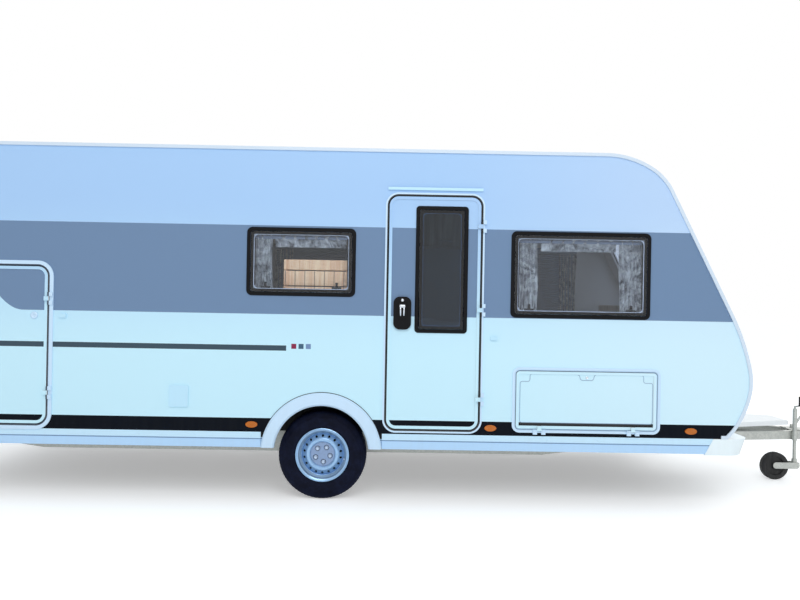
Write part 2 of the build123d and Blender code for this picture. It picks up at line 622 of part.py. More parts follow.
# Axle: cross tube, trailing arms, brake back plates and stub axles
ARM_Y = TRACK / 2 - 195     # inner face of an arm
ARM_T = 46
tube_x, tube_z = AXLE_TUBE
tube = rod((tube_x, -ARM_Y, tube_z), (tube_x, ARM_Y, tube_z), AXLE_TUBE_R)
ARM_ENDS = (66, 46)         # radius round the tube and round the stub axle
arm_ends = Pos(tube_x, tube_z) * Circle(ARM_ENDS[0]) + Pos(0, TYRE_R) * Circle(ARM_ENDS[1])
arm = panel(make_hull(arm_ends.edges()), ARM_Y, ARM_Y + ARM_T)
STUB_R = 22
DRUM_R = 112
DRUM_IN = 50               # drum's open end, inboard of the wheel's middle plane
DISC_SEAT = 34             # outer face of the drum, outboard of it
wheel_y = TRACK / 2
PLATE_GAP = 6
PLATE_T = 6
plate_y = wheel_y - DRUM_IN - PLATE_GAP
stub = rod((0, ARM_Y, TYRE_R), (0, wheel_y, TYRE_R), STUB_R)
plate = rod((0, plate_y - PLATE_T, TYRE_R), (0, plate_y, TYRE_R), DRUM_R)
hub_ends = both_sides(arm + stub + plate)
save("axle", tube + hub_ends[0] + hub_ends[1])


# ---------------------------------------------------------------- wheels
def revolved(points, axis=Axis.Z):
    """Closed polygon of (radius, height) turned round Z."""
    return revolve(Plane.XZ * make_face(Polyline(*points, close=True)), axis)


DISC_T = 8
BOLT = dict(r=11, h=14)


def rim():
    """Pressed steel wheel, its outer side up, about Z at the wheel's middle plane."""
    r, b = RIM_FLANGE_R, BEAD_R
    barrel = [(r - 5, 87), (r, 85), (r, 79), (b, 74), (b, 50), (158, 34), (158, -34), (b, -50),
              (b, -74), (r, -79), (r, -85), (r - 5, -87), (r - 10, -83), (b - 4, -77), (b - 6, -54),
              (152, -37), (152, 37), (b - 6, 54), (b - 4, 77), (r - 10, 83)]
    seat, ridge = DISC_SEAT, DISC_SEAT + 26
    disc = [(153, 18), (153, 26), (146, 34), (120, ridge - 4), (114, ridge), (98, ridge), (91, ridge - 6),
            (87, seat + DISC_T), (0, seat + DISC_T), (0, seat), (92, seat), (97, ridge - 8), (114, ridge - 8),
            (140, 28), (146, 18)]
    wheel = revolved(barrel) + revolved(disc)
    for i in range(VENT_HOLES):
        angle = radians(360 * (i + 0.5) / VENT_HOLES)
        at = Pos(VENT_RING_R * cos(angle), VENT_RING_R * sin(angle), seat)
        wheel = wheel - at * Cylinder(VENT_R, 80)
    for i in range(WHEEL_BOLTS):
        angle = radians(360 * i / WHEEL_BOLTS + BOLT_TURN)
        at = Pos(BOLT_RING_R * cos(angle), BOLT_RING_R * sin(angle), seat + DISC_T + BOLT["h"] / 2)
        wheel = wheel + at * Cylinder(BOLT["r"], BOLT["h"])
    return wheel


def hub():
    """Brake drum with the bearing bore, in the same frame as the rim."""
    drum = Pos(0, 0, (DISC_SEAT - DRUM_IN) / 2) * Cylinder(DRUM_R, DISC_SEAT + DRUM_IN)
    return drum - Pos(0, 0, -DRUM_IN / 2) * Cylinder(STUB_R + RUN, DRUM_IN + 6)


def tyre():
    """Van tyre about Z, round shouldered."""
    half = TYRE_W / 2
    edges = [Polyline((BEAD_R, -72), (RIM_FLANGE_R + 2, -78), (RIM_FLANGE_R + 8, -86))]
    edges.append(ThreePointArc((RIM_FLANGE_R + 8, -86), (252, -half), (300, -84)))
    edges.append(ThreePointArc((300, -84), (314, -76), (TYRE_R - 1, -62)))
    edges.append(ThreePointArc((TYRE_R - 1, -62), (TYRE_R, 0), (TYRE_R - 1, 62)))
    edges.append(ThreePointArc((TYRE_R - 1, 62), (314, 76), (300, 84)))
    edges.append(ThreePointArc((300, 84), (252, half), (RIM_FLANGE_R + 8, 86)))
    edges.append(Polyline((RIM_FLANGE_R + 8, 86), (RIM_FLANGE_R + 2, 78), (BEAD_R, 72), (BEAD_R, -72)))
    return revolve(Plane.XZ * make_face(edges), Axis.Z)


# Outer side of each wheel faces away from the caravan
for name, side in (("right", -1), ("left", 1)):
    place = Plane((0, side * wheel_y, TYRE_R), x_dir=(1, 0, 0), z_dir=(0, side, 0))
    save(f"wheel_{name}_rim", place * (rim() + hub()))
    save(f"wheel_{name}_tyre", place * tyre())

# ---------------------------------------------------------------- coupling
HOUSING_R = 38
HOUSING_HALF = 130
SADDLE = dict(y=100, z0=4, z1=10)          # over the drawbar beams
SHAFT_R = 22
SHAFT_DROP = 4             # shaft's middle below the ball's
HEAD = dict(r=40, h=52, up=2, edge=18)
NECK = [                   # sections: behind the ball, width, height, above the ball
    dict(back=130, w=60, h=60, up=-SHAFT_DROP),
    dict(back=10, w=74, h=40, up=6),
]
TIP = dict(y=14, z0=-6, z1=12)
SOCKET = dict(foot=-24, depth=34)          # from the ball's middle
HANDLE = [                 # rods: from and to as (behind, above the ball), radius
    dict(a=(20, 24), b=(150, 92), r=12),
    dict(a=(150, 92), b=(250, 96), r=15),
]
housing_x = (BEAM_FRONT[0] - HOUSING_HALF, BEAM_FRONT[0] + HOUSING_HALF)
shaft_z = BALL_Z - SHAFT_DROP
housing = rod((housing_x[0], 0, shaft_z), (housing_x[1], 0, shaft_z), HOUSING_R)
beam_top = BEAM_FRONT[2] + BEAM_H / 2
saddle = box(housing_x[0], BEAM_FRONT[0], -SADDLE["y"], SADDLE["y"],
             beam_top + SADDLE["z0"], beam_top + SADDLE["z1"])
shaft = rod((housing_x[1], 0, shaft_z), (BALL_X - 60, 0, shaft_z), SHAFT_R)
head = Pos(BALL_X, 0, BALL_Z + HEAD["up"]) * Cylinder(HEAD["r"], HEAD["h"])
head = fillet(head.faces().sort_by(Axis.Z)[-1].edges(), HEAD["edge"])
sections = []
for row in NECK:
    across = Plane((BALL_X - row["back"], 0, BALL_Z + row["up"]), x_dir=(0, 1, 0), z_dir=(1, 0, 0))
    sections.append(across * Rectangle(row["w"], row["h"]))
neck = loft(sections)
tip = box(BALL_X, BALL_X + COUPLING_TIP, -TIP["y"], TIP["y"], BALL_Z + TIP["z0"], BALL_Z + TIP["z1"])
socket = rod((BALL_X, 0, BALL_Z - 2 * SOCKET["depth"]), (BALL_X, 0, BALL_Z + SOCKET["foot"] + SOCKET["depth"]),
             BALL_SOCKET_R)
coupling = housing + saddle + shaft + (neck + head + tip - socket)
for row in HANDLE:
    ends = [(BALL_X - back, 0, BALL_Z + up) for back, up in (row["a"], row["b"])]
    coupling = coupling + rod(*ends, row["r"])
save("coupling", coupling)

# Rubber gaiter over the shaft
GAITER_FOLDS = 6
GAITER_R = (30, 42)        # in a fold's valley and on its crest
gaiter_x = (housing_x[1], BALL_X - NECK[0]["back"])
fold = (gaiter_x[1] - gaiter_x[0]) / GAITER_FOLDS
folds = [(SHAFT_R + RUN, 0)]
for i in range(GAITER_FOLDS):
    folds += [(GAITER_R[0], i * fold), (GAITER_R[1], (i + 0.5) * fold)]
folds += [(GAITER_R[0], GAITER_FOLDS * fold), (SHAFT_R + RUN, GAITER_FOLDS * fold)]
save("coupling_gaiter", Plane((gaiter_x[0], 0, shaft_z), z_dir=(1, 0, 0)) * revolved(folds))

# Handbrake lever standing on the housing
BRAKE_X = BEAM_FRONT[0] - 60
BRAKE_RODS = [             # from and to as (forward, above the housing), radius
    dict(a=(0, 0), b=(60, 90), r=9),
    dict(a=(60, 90), b=(230, 130), r=13),
]
BRAKE_BRACKET = dict(x=25, y=12, z0=-8, z1=26)
housing_top = shaft_z + HOUSING_R
brake = box(BRAKE_X - BRAKE_BRACKET["x"], BRAKE_X + BRAKE_BRACKET["x"], -BRAKE_BRACKET["y"], BRAKE_BRACKET["y"],
            housing_top + BRAKE_BRACKET["z0"], housing_top + BRAKE_BRACKET["z1"])
for row in BRAKE_RODS:
    ends = [(BRAKE_X + ahead, 0, housing_top + up) for ahead, up in (row["a"], row["b"])]
    brake = brake + rod(*ends, row["r"])
save("handbrake_lever", brake - housing)

# Cover over the drawbar, open below
COVER_X = (BELLY[-1][0], 3880)
COVER_TOP = 500
COVER_LOW = 462
COVER_HALF = (470, 150)    # half width at the nose and at the front
COVER_T = 5
COVER_EDGE = 14


def cover_block(inset):
    """Trapezoid of the cover inset by its thickness."""
    x0, x1 = COVER_X[0] + inset, COVER_X[1] - inset
    w0, w1 = COVER_HALF[0] - inset, COVER_HALF[1] - inset
    return make_face(Polyline((x0, -w0), (x1, -w1), (x1, w1), (x0, w0), close=True))


cover = Pos(0, 0, COVER_LOW) * extrude(cover_block(0), COVER_TOP - COVER_LOW)
cover = fillet(cover.faces().sort_by(Axis.Z)[-1].edges(), COVER_EDGE)
cover = cover - Pos(0, 0, COVER_LOW - 1) * extrude(cover_block(COVER_T), COVER_TOP - COVER_LOW - COVER_T)
save("drawbar_cover", cover)

# ---------------------------------------------------------------- jockey wheel
SLEEVE_Z = (332, 600)
SLEEVE_CROWN = 20          # solid end of the sleeve
CLAMP = dict(half=22, reach=34, z0=352, z1=396)
CRANK_HUB = dict(r=9, h=22)
CRANK_ARM = dict(x=24, y=-40, z0=18, z1=30, r=7)
CRANK_KNOB = dict(r=13, z0=24, z1=104)
FORK_TOP = 176
SWIVEL_GAP = 0.4
POST_TOP = 470
CHEEK = dict(t=6, h=52, up=8)
BRIDGE = dict(x=24, z0=8, z1=34)
COLLAR = dict(r=22, z0=20)
PIN_R = 8
WHEEL_GAP = 6              # jockey wheel to a cheek
sleeve_top = SLEEVE_Z[1]


def upright(radius, z0, z1, x=0, y=0):
    """Round bar on the jockey post's line, or at x and y from it."""
    return rod((POST_X + x, POST_Y + y, z0), (POST_X + x, POST_Y + y, z1), radius)


sleeve = upright(SLEEVE_R, *SLEEVE_Z) - upright(POST_R + RUN, SLEEVE_Z[0] - 1, sleeve_top - SLEEVE_CROWN)
clamp = box(POST_X - CLAMP["half"], POST_X + CLAMP["half"], POST_Y, POST_Y + CLAMP["reach"],
            CLAMP["z0"], CLAMP["z1"])
clamp = clamp - beam_right - upright(POST_R + RUN, CLAMP["z0"] - 50, CLAMP["z1"] + 50)
crank = upright(CRANK_HUB["r"], sleeve_top, sleeve_top + CRANK_HUB["h"])
knob_at = (POST_X + CRANK_ARM["x"], POST_Y + CRANK_ARM["y"], sleeve_top + CRANK_ARM["z1"])
crank = crank + rod((POST_X, POST_Y, sleeve_top + CRANK_ARM["z0"]), knob_at, CRANK_ARM["r"])
crank = crank + upright(CRANK_KNOB["r"], sleeve_top + CRANK_KNOB["z0"], sleeve_top + CRANK_KNOB["z1"],
                        CRANK_ARM["x"], CRANK_ARM["y"])
save("jockey_sleeve", sleeve + clamp + crank)
save("jockey_post", upright(POST_R, FORK_TOP + SWIVEL_GAP, POST_TOP))
axle_x = POST_X - TRAIL
cheek_in = JOCKEY_W / 2 + WHEEL_GAP
cheek_out = cheek_in + CHEEK["t"]
cheek = Pos((axle_x + POST_X) / 2, JOCKEY_R + CHEEK["up"]) * SlotOverall(TRAIL + CHEEK["h"], CHEEK["h"])
fork = panel(cheek, POST_Y + cheek_in, POST_Y + cheek_out)
fork = fork + panel(cheek, POST_Y - cheek_out, POST_Y - cheek_in)
fork = fork + box(POST_X - BRIDGE["x"], POST_X + BRIDGE["x"], POST_Y - cheek_out, POST_Y + cheek_out,
                  JOCKEY_R + BRIDGE["z0"], JOCKEY_R + BRIDGE["z1"])
fork = fork + upright(COLLAR["r"], JOCKEY_R + COLLAR["z0"], FORK_TOP)
pin_half = (cheek_in + cheek_out) / 2
fork = fork + rod((axle_x, POST_Y - pin_half, JOCKEY_R), (axle_x, POST_Y + pin_half, JOCKEY_R), PIN_R)
save("jockey_fork", fork)
half = JOCKEY_W / 2
tread = [(8 + RUN, -half), (24, -half), (24, -14), (74, -14), (78, -half + 6), (JOCKEY_R - 12, -half),
         (JOCKEY_R, -half + 10), (JOCKEY_R, half - 10), (JOCKEY_R - 12, half), (78, half - 6), (74, 14),
         (24, 14), (24, half), (8 + RUN, half)]
save("jockey_wheel", Plane((axle_x, POST_Y, JOCKEY_R), z_dir=(0, 1, 0)) * revolved(tread))

# ---------------------------------------------------------------- corner steadies
STEADY_L = 380
STEADY_LEG = dict(back=20, half_w=18, half_h=22, wall=4)
STEADY_PIN_R = 9
STEADY_FOOT = dict(half=45, t=12)
REAR_STEADY, FRONT_STEADY = STEADY_X
# name: (x of the pivot, side, which way it folds)
STEADIES = {"rear_right": (REAR_STEADY, -1, -1), "rear_left": (REAR_STEADY, 1, -1),
            "front_right": (FRONT_STEADY, -1, 1), "front_left": (FRONT_STEADY, 1, 1)}


def steady(x, side, way):
    """Folded corner steady: channel leg from its pivot towards the caravan's end, with a foot."""
    y = side * STEADY_Y
    half_w, half_h, wall = STEADY_LEG["half_w"], STEADY_LEG["half_h"], STEADY_LEG["wall"]
    ends = sorted((x - way * STEADY_LEG["back"], x + way * STEADY_L))
    leg = box(*ends, y - half_w, y + half_w, STEADY_Z - half_h, STEADY_Z + half_h)
    leg = leg - box(x - FAR, x + FAR, y - half_w + wall, y + half_w - wall, STEADY_Z - half_h + wall, FAR)
    pin = rod((x, y - half_w, STEADY_Z), (x, y + half_w, STEADY_Z), STEADY_PIN_R)
    half, foot_x, foot_z = STEADY_FOOT["half"], x + way * STEADY_L, STEADY_Z - half_h
    foot = box(foot_x - half, foot_x + half, y - half, y + half, foot_z - STEADY_FOOT["t"], foot_z)
    return leg + pin + foot


for name, (x, side, way) in STEADIES.items():
    save(f"steady_{name}", steady(x, side, way))

# ---------------------------------------------------------------- cabin furniture
BOARD = 18
# Kitchen along the entrance side, over the wheel box
KITCHEN = dict(x0=-760, x1=330, depth=560, top=1370, board=30, over=14)
SINK = dict(x=-30, r=170, depth=25)
kitchen_y = -INSIDE + KITCHEN["depth"]
board_z = KITCHEN["top"] - KITCHEN["board"]
carcass = box(KITCHEN["x0"], KITCHEN["x1"], -INSIDE, kitchen_y, SILL_Z, board_z)
hollow = box(KITCHEN["x0"] + BOARD, KITCHEN["x1"] - BOARD, -INSIDE - 1, kitchen_y - BOARD, SILL_Z - 1, board_z)
worktop = box(KITCHEN["x0"], KITCHEN["x1"], -INSIDE, kitchen_y + KITCHEN["over"], board_z, KITCHEN["top"])
sink = Pos(SINK["x"], (kitchen_y - INSIDE) / 2, KITCHEN["top"]) * Cylinder(SINK["r"], 2 * SINK["depth"])
wells = [panel(Pos(0, ARCH_Z) * Circle(WELL_R + WELL_T + RUN), WELL_IN - WELL_T - RUN, INSIDE)]
wells.append(mirror(wells[0], about=Plane.XZ))
save("kitchen_unit", carcass - hollow + worktop - sink - wells[1])

# Nose: bed box over the front hatch, with its mattress
BED = dict(x0=1300, x1=2600, top=1030)
bed = box(BED["x0"], BED["x1"], -INSIDE, INSIDE, SILL_Z, BED["top"])
bed = bed - box(BED["x0"] + BOARD, BED["x1"] - BOARD, -INSIDE - 1, INSIDE - BOARD,
                SILL_Z - 1, BED["top"] - BOARD)
# its nose end rises as the bulkhead of the gas locker, with a shelf out to the rake
LOCKER_TOP = 1448
bulkhead = box(BED["x1"] - BOARD, BED["x1"], -INSIDE, INSIDE, SILL_Z, LOCKER_TOP)
shelf = box(BED["x1"] - BOARD, LONG, -INSIDE, INSIDE, LOCKER_TOP - BOARD, LOCKER_TOP)
shelf = shelf & panel(INNER, -INSIDE, INSIDE)
save("bed_base", bed + bulkhead + shelf)
MATTRESS = dict(thick=130, end=15, foot=28, side=12)
save("bed_mattress", box(BED["x0"] + MATTRESS["end"], BED["x1"] - MATTRESS["foot"], -INSIDE + MATTRESS["side"],
                         INSIDE - MATTRESS["side"], BED["top"] + RUN, BED["top"] + MATTRESS["thick"]))
BOTTLE = dict(r=118, h=560, x=2723, y=230, shoulder=45)
VALVE = dict(r=24, h=60, sunk=10)
bottle = Pos(BOTTLE["x"], BOTTLE["y"], SILL_Z + BOTTLE["h"] / 2) * Cylinder(BOTTLE["r"], BOTTLE["h"])
bottle = fillet(bottle.edges(), BOTTLE["shoulder"])
valve_z = SILL_Z + BOTTLE["h"] - VALVE["sunk"] + VALVE["h"] / 2
bottle = bottle + Pos(BOTTLE["x"], BOTTLE["y"], valve_z) * Cylinder(VALVE["r"], VALVE["h"])
save("gas_bottles", both_sides(bottle))

# Dinette on the far side: two benches, cushions and a table
BENCHES = ((-700, -240), (60, 520))
BENCH = dict(depth=1040, top=860)
CUSHION = dict(thick=130, edge=5)
TABLE = dict(x0=-210, x1=30, depth=940, z0=1210, z1=1238)
TABLE_LEG = dict(x=-90, y=480, r=28)
bench_y = INSIDE - BENCH["depth"]
benches = []
cushions = []
for x0, x1 in BENCHES:
    carcass = box(x0, x1, bench_y, INSIDE, SILL_Z, BENCH["top"])
    hollow = box(x0 + BOARD, x1 - BOARD, bench_y + BOARD, INSIDE + 1, SILL_Z - 1, BENCH["top"] - BOARD)
    benches.append(carcass - hollow - wells[0])
    cushions.append(box(x0 + CUSHION["edge"], x1 - CUSHION["edge"], bench_y + CUSHION["edge"],
                        INSIDE - CUSHION["edge"], BENCH["top"] + RUN, BENCH["top"] + CUSHION["thick"]))
save("dinette_cushions", cushions)
table = box(TABLE["x0"], TABLE["x1"], INSIDE - TABLE["depth"], INSIDE, TABLE["z0"], TABLE["z1"])
table = table + rod((TABLE_LEG["x"], TABLE_LEG["y"], SILL_Z), (TABLE_LEG["x"], TABLE_LEG["y"], TABLE["z0"] + 2),
                    TABLE_LEG["r"])
save("dinette_joinery", benches, table)

# Lockers under the roof on the far side
LOCKERS = dict(x0=-700, x1=1250, depth=330, z0=ROOF_Z - 555, z1=ROOF_Z - 205)
locker_y = INSIDE - LOCKERS["depth"]
lockers = box(LOCKERS["x0"], LOCKERS["x1"], locker_y, INSIDE, LOCKERS["z0"], LOCKERS["z1"])
lockers = lockers - box(LOCKERS["x0"] + BOARD, LOCKERS["x1"] - BOARD, locker_y + BOARD, INSIDE + 1,
                        LOCKERS["z0"] + BOARD, LOCKERS["z1"] - BOARD)
save("roof_lockers", lockers)

# Washroom and wardrobe walls between dinette and bunks
WASH = dict(x0=-1980, x1=-760, y=180, top=ROOF_Z - WALL)
wash = box(WASH["x0"], WASH["x1"], WASH["y"], INSIDE, SILL_Z, WASH["top"])
wash = wash - box(WASH["x0"] + BOARD, WASH["x1"] - BOARD, WASH["y"] + BOARD, INSIDE + 1,
                  SILL_Z - 1, WASH["top"] + 1)
save("washroom_walls", wash)

# Bunks across the tail, above the rear hatch's load space
BUNKS_Z = (960, 1760)
BUNK_X = (REAR_X + WALL, -2140)
BUNK_Y = (-INSIDE + 40, INSIDE)
BUNK_BOARD = 150           # height of the board along the open side
PAD = dict(thick=110, edge=8, board_gap=6)
bunks = []
bunk_pads = []
for z in BUNKS_Z:
    bed_board = box(*BUNK_X, *BUNK_Y, z, z + BOARD)
    bunks.append(bed_board + box(BUNK_X[1] - BOARD, BUNK_X[1], *BUNK_Y, z, z + BUNK_BOARD))
    bunk_pads.append(box(BUNK_X[0] + PAD["edge"], BUNK_X[1] - BOARD - PAD["board_gap"], BUNK_Y[0] + PAD["edge"],
                         BUNK_Y[1] - PAD["edge"], z + BOARD + RUN, z + BOARD + PAD["thick"]))
save("bunk_boards", bunks)
save("bunk_mattresses", bunk_pads)
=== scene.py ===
from collections import namedtuple
from math import cos, pi, radians, sin, tau

import bmesh
import bpy
from mathutils import Matrix, Vector, noise


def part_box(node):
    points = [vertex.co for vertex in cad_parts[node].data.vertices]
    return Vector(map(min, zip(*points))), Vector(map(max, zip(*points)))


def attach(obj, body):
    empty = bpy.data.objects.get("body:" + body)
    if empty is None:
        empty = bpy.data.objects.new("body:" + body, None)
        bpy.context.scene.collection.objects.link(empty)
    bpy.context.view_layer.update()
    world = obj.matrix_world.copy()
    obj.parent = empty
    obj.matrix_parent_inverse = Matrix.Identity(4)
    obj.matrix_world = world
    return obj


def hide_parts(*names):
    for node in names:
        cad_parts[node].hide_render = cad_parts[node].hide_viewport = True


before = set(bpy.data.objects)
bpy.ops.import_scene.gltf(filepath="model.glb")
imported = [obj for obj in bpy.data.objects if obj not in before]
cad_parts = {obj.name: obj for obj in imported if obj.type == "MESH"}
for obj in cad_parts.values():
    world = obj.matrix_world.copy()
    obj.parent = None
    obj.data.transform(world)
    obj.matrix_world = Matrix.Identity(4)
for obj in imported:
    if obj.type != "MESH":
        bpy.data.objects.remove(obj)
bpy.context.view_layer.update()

# ================================================================ camera
# Looks at the entrance side from a standing person's height, rolled about a
# degree off level.
PICTURE_WIDTH = 800
FOCAL_PIXELS = 781
EYE = Vector((-0.2526, -6.760, 1.4592))
YAW, PITCH, ROLL = radians(0.616), radians(0.038), radians(1.0175)
look = Vector((sin(YAW) * cos(PITCH), cos(YAW) * cos(PITCH), sin(PITCH)))
level_right = Vector((cos(YAW), -sin(YAW), 0))
level_up = level_right.cross(look)
right = level_right * cos(ROLL) + level_up * sin(ROLL)
up = level_up * cos(ROLL) - level_right * sin(ROLL)
camera = bpy.data.objects.new("camera", bpy.data.cameras.new("camera"))
camera.data.sensor_width = 36
camera.data.lens = camera.data.sensor_width * FOCAL_PIXELS / PICTURE_WIDTH
camera.matrix_world = Matrix((
    (right.x, up.x, -look.x, EYE.x),
    (right.y, up.y, -look.y, EYE.y),
    (right.z, up.z, -look.z, EYE.z),
    (0, 0, 0, 1),
))
bpy.context.scene.collection.objects.link(camera)
bpy.context.scene.camera = camera
bpy.context.scene.view_settings.view_transform = "Standard"

# ================================================================ floor and light
# A plain pale studio floor runs on into an even white backdrop. Two large soft
# lamps stand high, one on the entrance side and one beyond the nose.


def tone(red, green, blue):
    """Linear colour of a screen colour given from 0 to 255."""
    def linear(level):
        share = level / 255
        return share / 12.92 if share <= 0.04045 else ((share + 0.055) / 1.055) ** 2.4
    return linear(red), linear(green), linear(blue), 1


def put(tree, kind, sockets=None, **settings):
    """New node; sockets maps an input's name or number to a value or to an output."""
    node = tree.nodes.new(kind)
    for key, value in settings.items():
        setattr(node, key, value)
    for key, value in (sockets or {}).items():
        if isinstance(value, bpy.types.NodeSocket):
            tree.links.new(value, node.inputs[key])
        else:
            node.inputs[key].default_value = value
    return node


def feed(tree, node, **outputs):
    """Links outputs to a node's inputs, named with _ for a space."""
    for key, output in outputs.items():
        tree.links.new(output, node.inputs[key.replace("_", " ")])


def math_out(tree, operation, a, b=0.0):
    """Output of a math node."""
    return put(tree, "ShaderNodeMath", {0: a, 1: b}, operation=operation).outputs[0]


def noise_out(tree, spot, scale, detail, roughness=0.5, distortion=0.0):
    """Output of a noise texture; spot may be None for the surface's own spread."""
    sockets = {"Scale": scale, "Detail": detail, "Roughness": roughness, "Distortion": distortion}
    if spot is not None:
        sockets["Vector"] = spot
    return put(tree, "ShaderNodeTexNoise", sockets).outputs["Fac"]


def ramp(tree, value, low, high, to_low=0.0, to_high=1.0, shape="LINEAR"):
    """Output of a value spread from one range to another, and held at its ends."""
    sockets = {"Value": value, "From Min": low, "From Max": high, "To Min": to_low, "To Max": to_high}
    return put(tree, "ShaderNodeMapRange", sockets, interpolation_type=shape).outputs[0]


def finish(name, color=(0.8, 0.8, 0.8, 1), roughness=0.5, **sockets):
    """New material with one principled shader: the material, its tree and its shader."""
    material = bpy.data.materials.new(name)
    material.use_nodes = True
    shader = material.node_tree.nodes["Principled BSDF"]
    values = {"Base Color": color, "Roughness": roughness}
    values.update({key.replace("_", " "): value for key, value in sockets.items()})
    for key, value in values.items():
        shader.inputs[key].default_value = value
    return material, material.node_tree, shader


def mesh_piece(name, points, faces, material, smooth=True):
    """Object from points and faces in the row frame."""
    mesh = bpy.data.meshes.new(name)
    mesh.from_pydata([tuple(p) for p in points], [], faces)
    mesh.materials.append(material)
    mesh.polygons.foreach_set("use_smooth", [smooth] * len(mesh.polygons))
    piece = bpy.data.objects.new(name, mesh)
    bpy.context.scene.collection.objects.link(piece)
    return piece


FLOOR_REACH = 60
FLOOR_GLOW = 0.36
floor_white, tree, shader = finish("studio_floor", tone(250, 251, 252), 0.85)
feed(tree, shader, Roughness=ramp(tree, noise_out(tree, None, 0.6, 3), 0, 1, 0.8, 0.9))
path = put(tree, "ShaderNodeLightPath")
surface = tree.nodes["Material Output"].inputs["Surface"]
for ray in ("Is Camera Ray", "Is Glossy Ray", "Is Transmission Ray"):
    seen = math_out(tree, "MULTIPLY", path.outputs[ray], FLOOR_GLOW)
    glow = put(tree, "ShaderNodeEmission", {"Color": (1, 1, 1, 1), "Strength": seen})
    both = put(tree, "ShaderNodeAddShader", {0: surface.links[0].from_socket, 1: glow.outputs[0]})
    tree.links.new(both.outputs[0], surface)
corners = [(x * FLOOR_REACH, y * FLOOR_REACH, 0) for x, y in ((-1, -1), (1, -1), (1, 1), (-1, 1))]
mesh_piece("studio_floor", corners, [(0, 1, 2, 3)], floor_white)

world = bpy.data.worlds.new("studio")
world.use_nodes = True
bpy.context.scene.world = world
tree = world.node_tree
tree.nodes.clear()
path = put(tree, "ShaderNodeLightPath")
seen = math_out(tree, "MAXIMUM", path.outputs["Is Camera Ray"], path.outputs["Is Glossy Ray"])
seen = math_out(tree, "MAXIMUM", seen, path.outputs["Is Transmission Ray"])
glow = put(tree, "ShaderNodeBackground", {"Color": (0.95, 0.98, 1, 1), "Strength": 0.66})
backdrop = put(tree, "ShaderNodeBackground", {"Color": (1, 1, 1, 1), "Strength": 1})
sky = put(tree, "ShaderNodeMixShader", {0: seen, 1: glow.outputs[0], 2: backdrop.outputs[0]})
put(tree, "ShaderNodeOutputWorld", {"Surface": sky.outputs[0]})

LAMPS = [
    dict(name="key_lamp", at=(0.3, -9.7, 7.5), aim=(0.2, 0, 1.0), size=6, power=376),
    dict(name="fill_lamp", at=(7.5, 7.0, 6.5), aim=(0, 0, 1.0), size=6, power=200),
]
for entry in LAMPS:
    lamp = bpy.data.lights.new(entry["name"], "AREA")
    lamp.size = entry["size"]
    lamp.energy = entry["power"]
    holder = bpy.data.objects.new(entry["name"], lamp)
    holder.location = entry["at"]
    holder.rotation_euler = (Vector(entry["aim"]) - Vector(entry["at"])).to_track_quat("-Z", "Y").to_euler()
    bpy.context.scene.collection.objects.link(holder)

# ================================================================ painted walls
# Sandwich panels faced with smooth coated sheet: white, with a grey band at
# window height, a thin dark stripe, three small squares and a black foot band.
hub = sum(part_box("wheel_right_rim"), Vector()) / 2
axle_x, hub_z = hub.x, hub.z
WHITE_LOW = tone(204, 241, 255)
# The white is painted darker and bluer towards the top, as painted shade of the sky light.
WHITE_HIGH_SHADED = tone(172, 207, 246)
SKY_SHADE_Z = (1.0, 2.2)
# The white pales towards the nose, as painted light.
NOSE_PAINTED_LIGHT = tone(250, 250, 255)
NOSE_LIGHT_X = (0.6, 3.0)
NOSE_LIGHT_SHARE = 0.2
BAND_GREY = tone(117, 142, 174)
BAND_Z = (1.3465, 1.981)
SWEEP_X = -2.14
SWEEP_RISE = 3.4
STRIPE_DARK = tone(70, 86, 98)
STRIPE_Z = (1.085, 1.123)
STRIPE_END_X = -0.262
SQUARES = [
    dict(x=-0.208, color=tone(140, 44, 76)),
    dict(x=-0.156, color=tone(70, 100, 124)),
    dict(x=-0.104, color=tone(120, 146, 186)),
]
SQUARE_Z = 1.118
SQUARE_HALF = 0.018
FOOT_BLACK = tone(12, 17, 26)
FOOT_Z = 0.601


def times(tree, a, b):
    """Product of two values."""
    return math_out(tree, "MULTIPLY", a, b)


def plus(tree, a, b):
    """Sum of two values."""
    return math_out(tree, "ADD", a, b)


def minus(tree, a, b):
    """First value less the second."""
    return math_out(tree, "SUBTRACT", a, b)


def weigh(tree, first, second):
    """Sum of two values, each given with its weight."""
    return plus(tree, times(tree, *first), times(tree, *second))


def inside_range(tree, value, low, high):
    """1 where value lies between low and high."""
    return times(tree, math_out(tree, "GREATER_THAN", value, low), math_out(tree, "LESS_THAN", value, high))


def mix_color(tree, share, a, b):
    """Output of a colour mix."""
    return put(tree, "ShaderNodeMix", {0: share, 6: a, 7: b}, data_type="RGBA").outputs[2]


def new_group(name, inputs, outputs):
    """Shader node group with named sockets: the group, its input node and its output node."""
    group = bpy.data.node_groups.new(name, "ShaderNodeTree")
    for label, kind, value in inputs:
        socket = group.interface.new_socket(label, in_out="INPUT", socket_type=kind)
        socket.default_value = value
    for label, kind in outputs:
        group.interface.new_socket(label, in_out="OUTPUT", socket_type=kind)
    return group, group.nodes.new("NodeGroupInput"), group.nodes.new("NodeGroupOutput")


def use_group(tree, group, **values):
    """The group placed in a material with its own values."""
    sockets = {key.replace("_", " "): value for key, value in values.items()}
    return put(tree, "ShaderNodeGroup", sockets, node_tree=group)


Place = namedtuple("Place", "x y z spot")


def place_along(tree):
    """The point being shaded: X from the axle, Y, Z, and the object's coordinates."""
    spot = put(tree, "ShaderNodeTexCoord").outputs["Object"]
    x, y, z = put(tree, "ShaderNodeSeparateXYZ", {0: spot}).outputs
    return Place(minus(tree, x, axle_x), y, z, spot)


FLOAT, COLOR = "NodeSocketFloat", "NodeSocketColor"

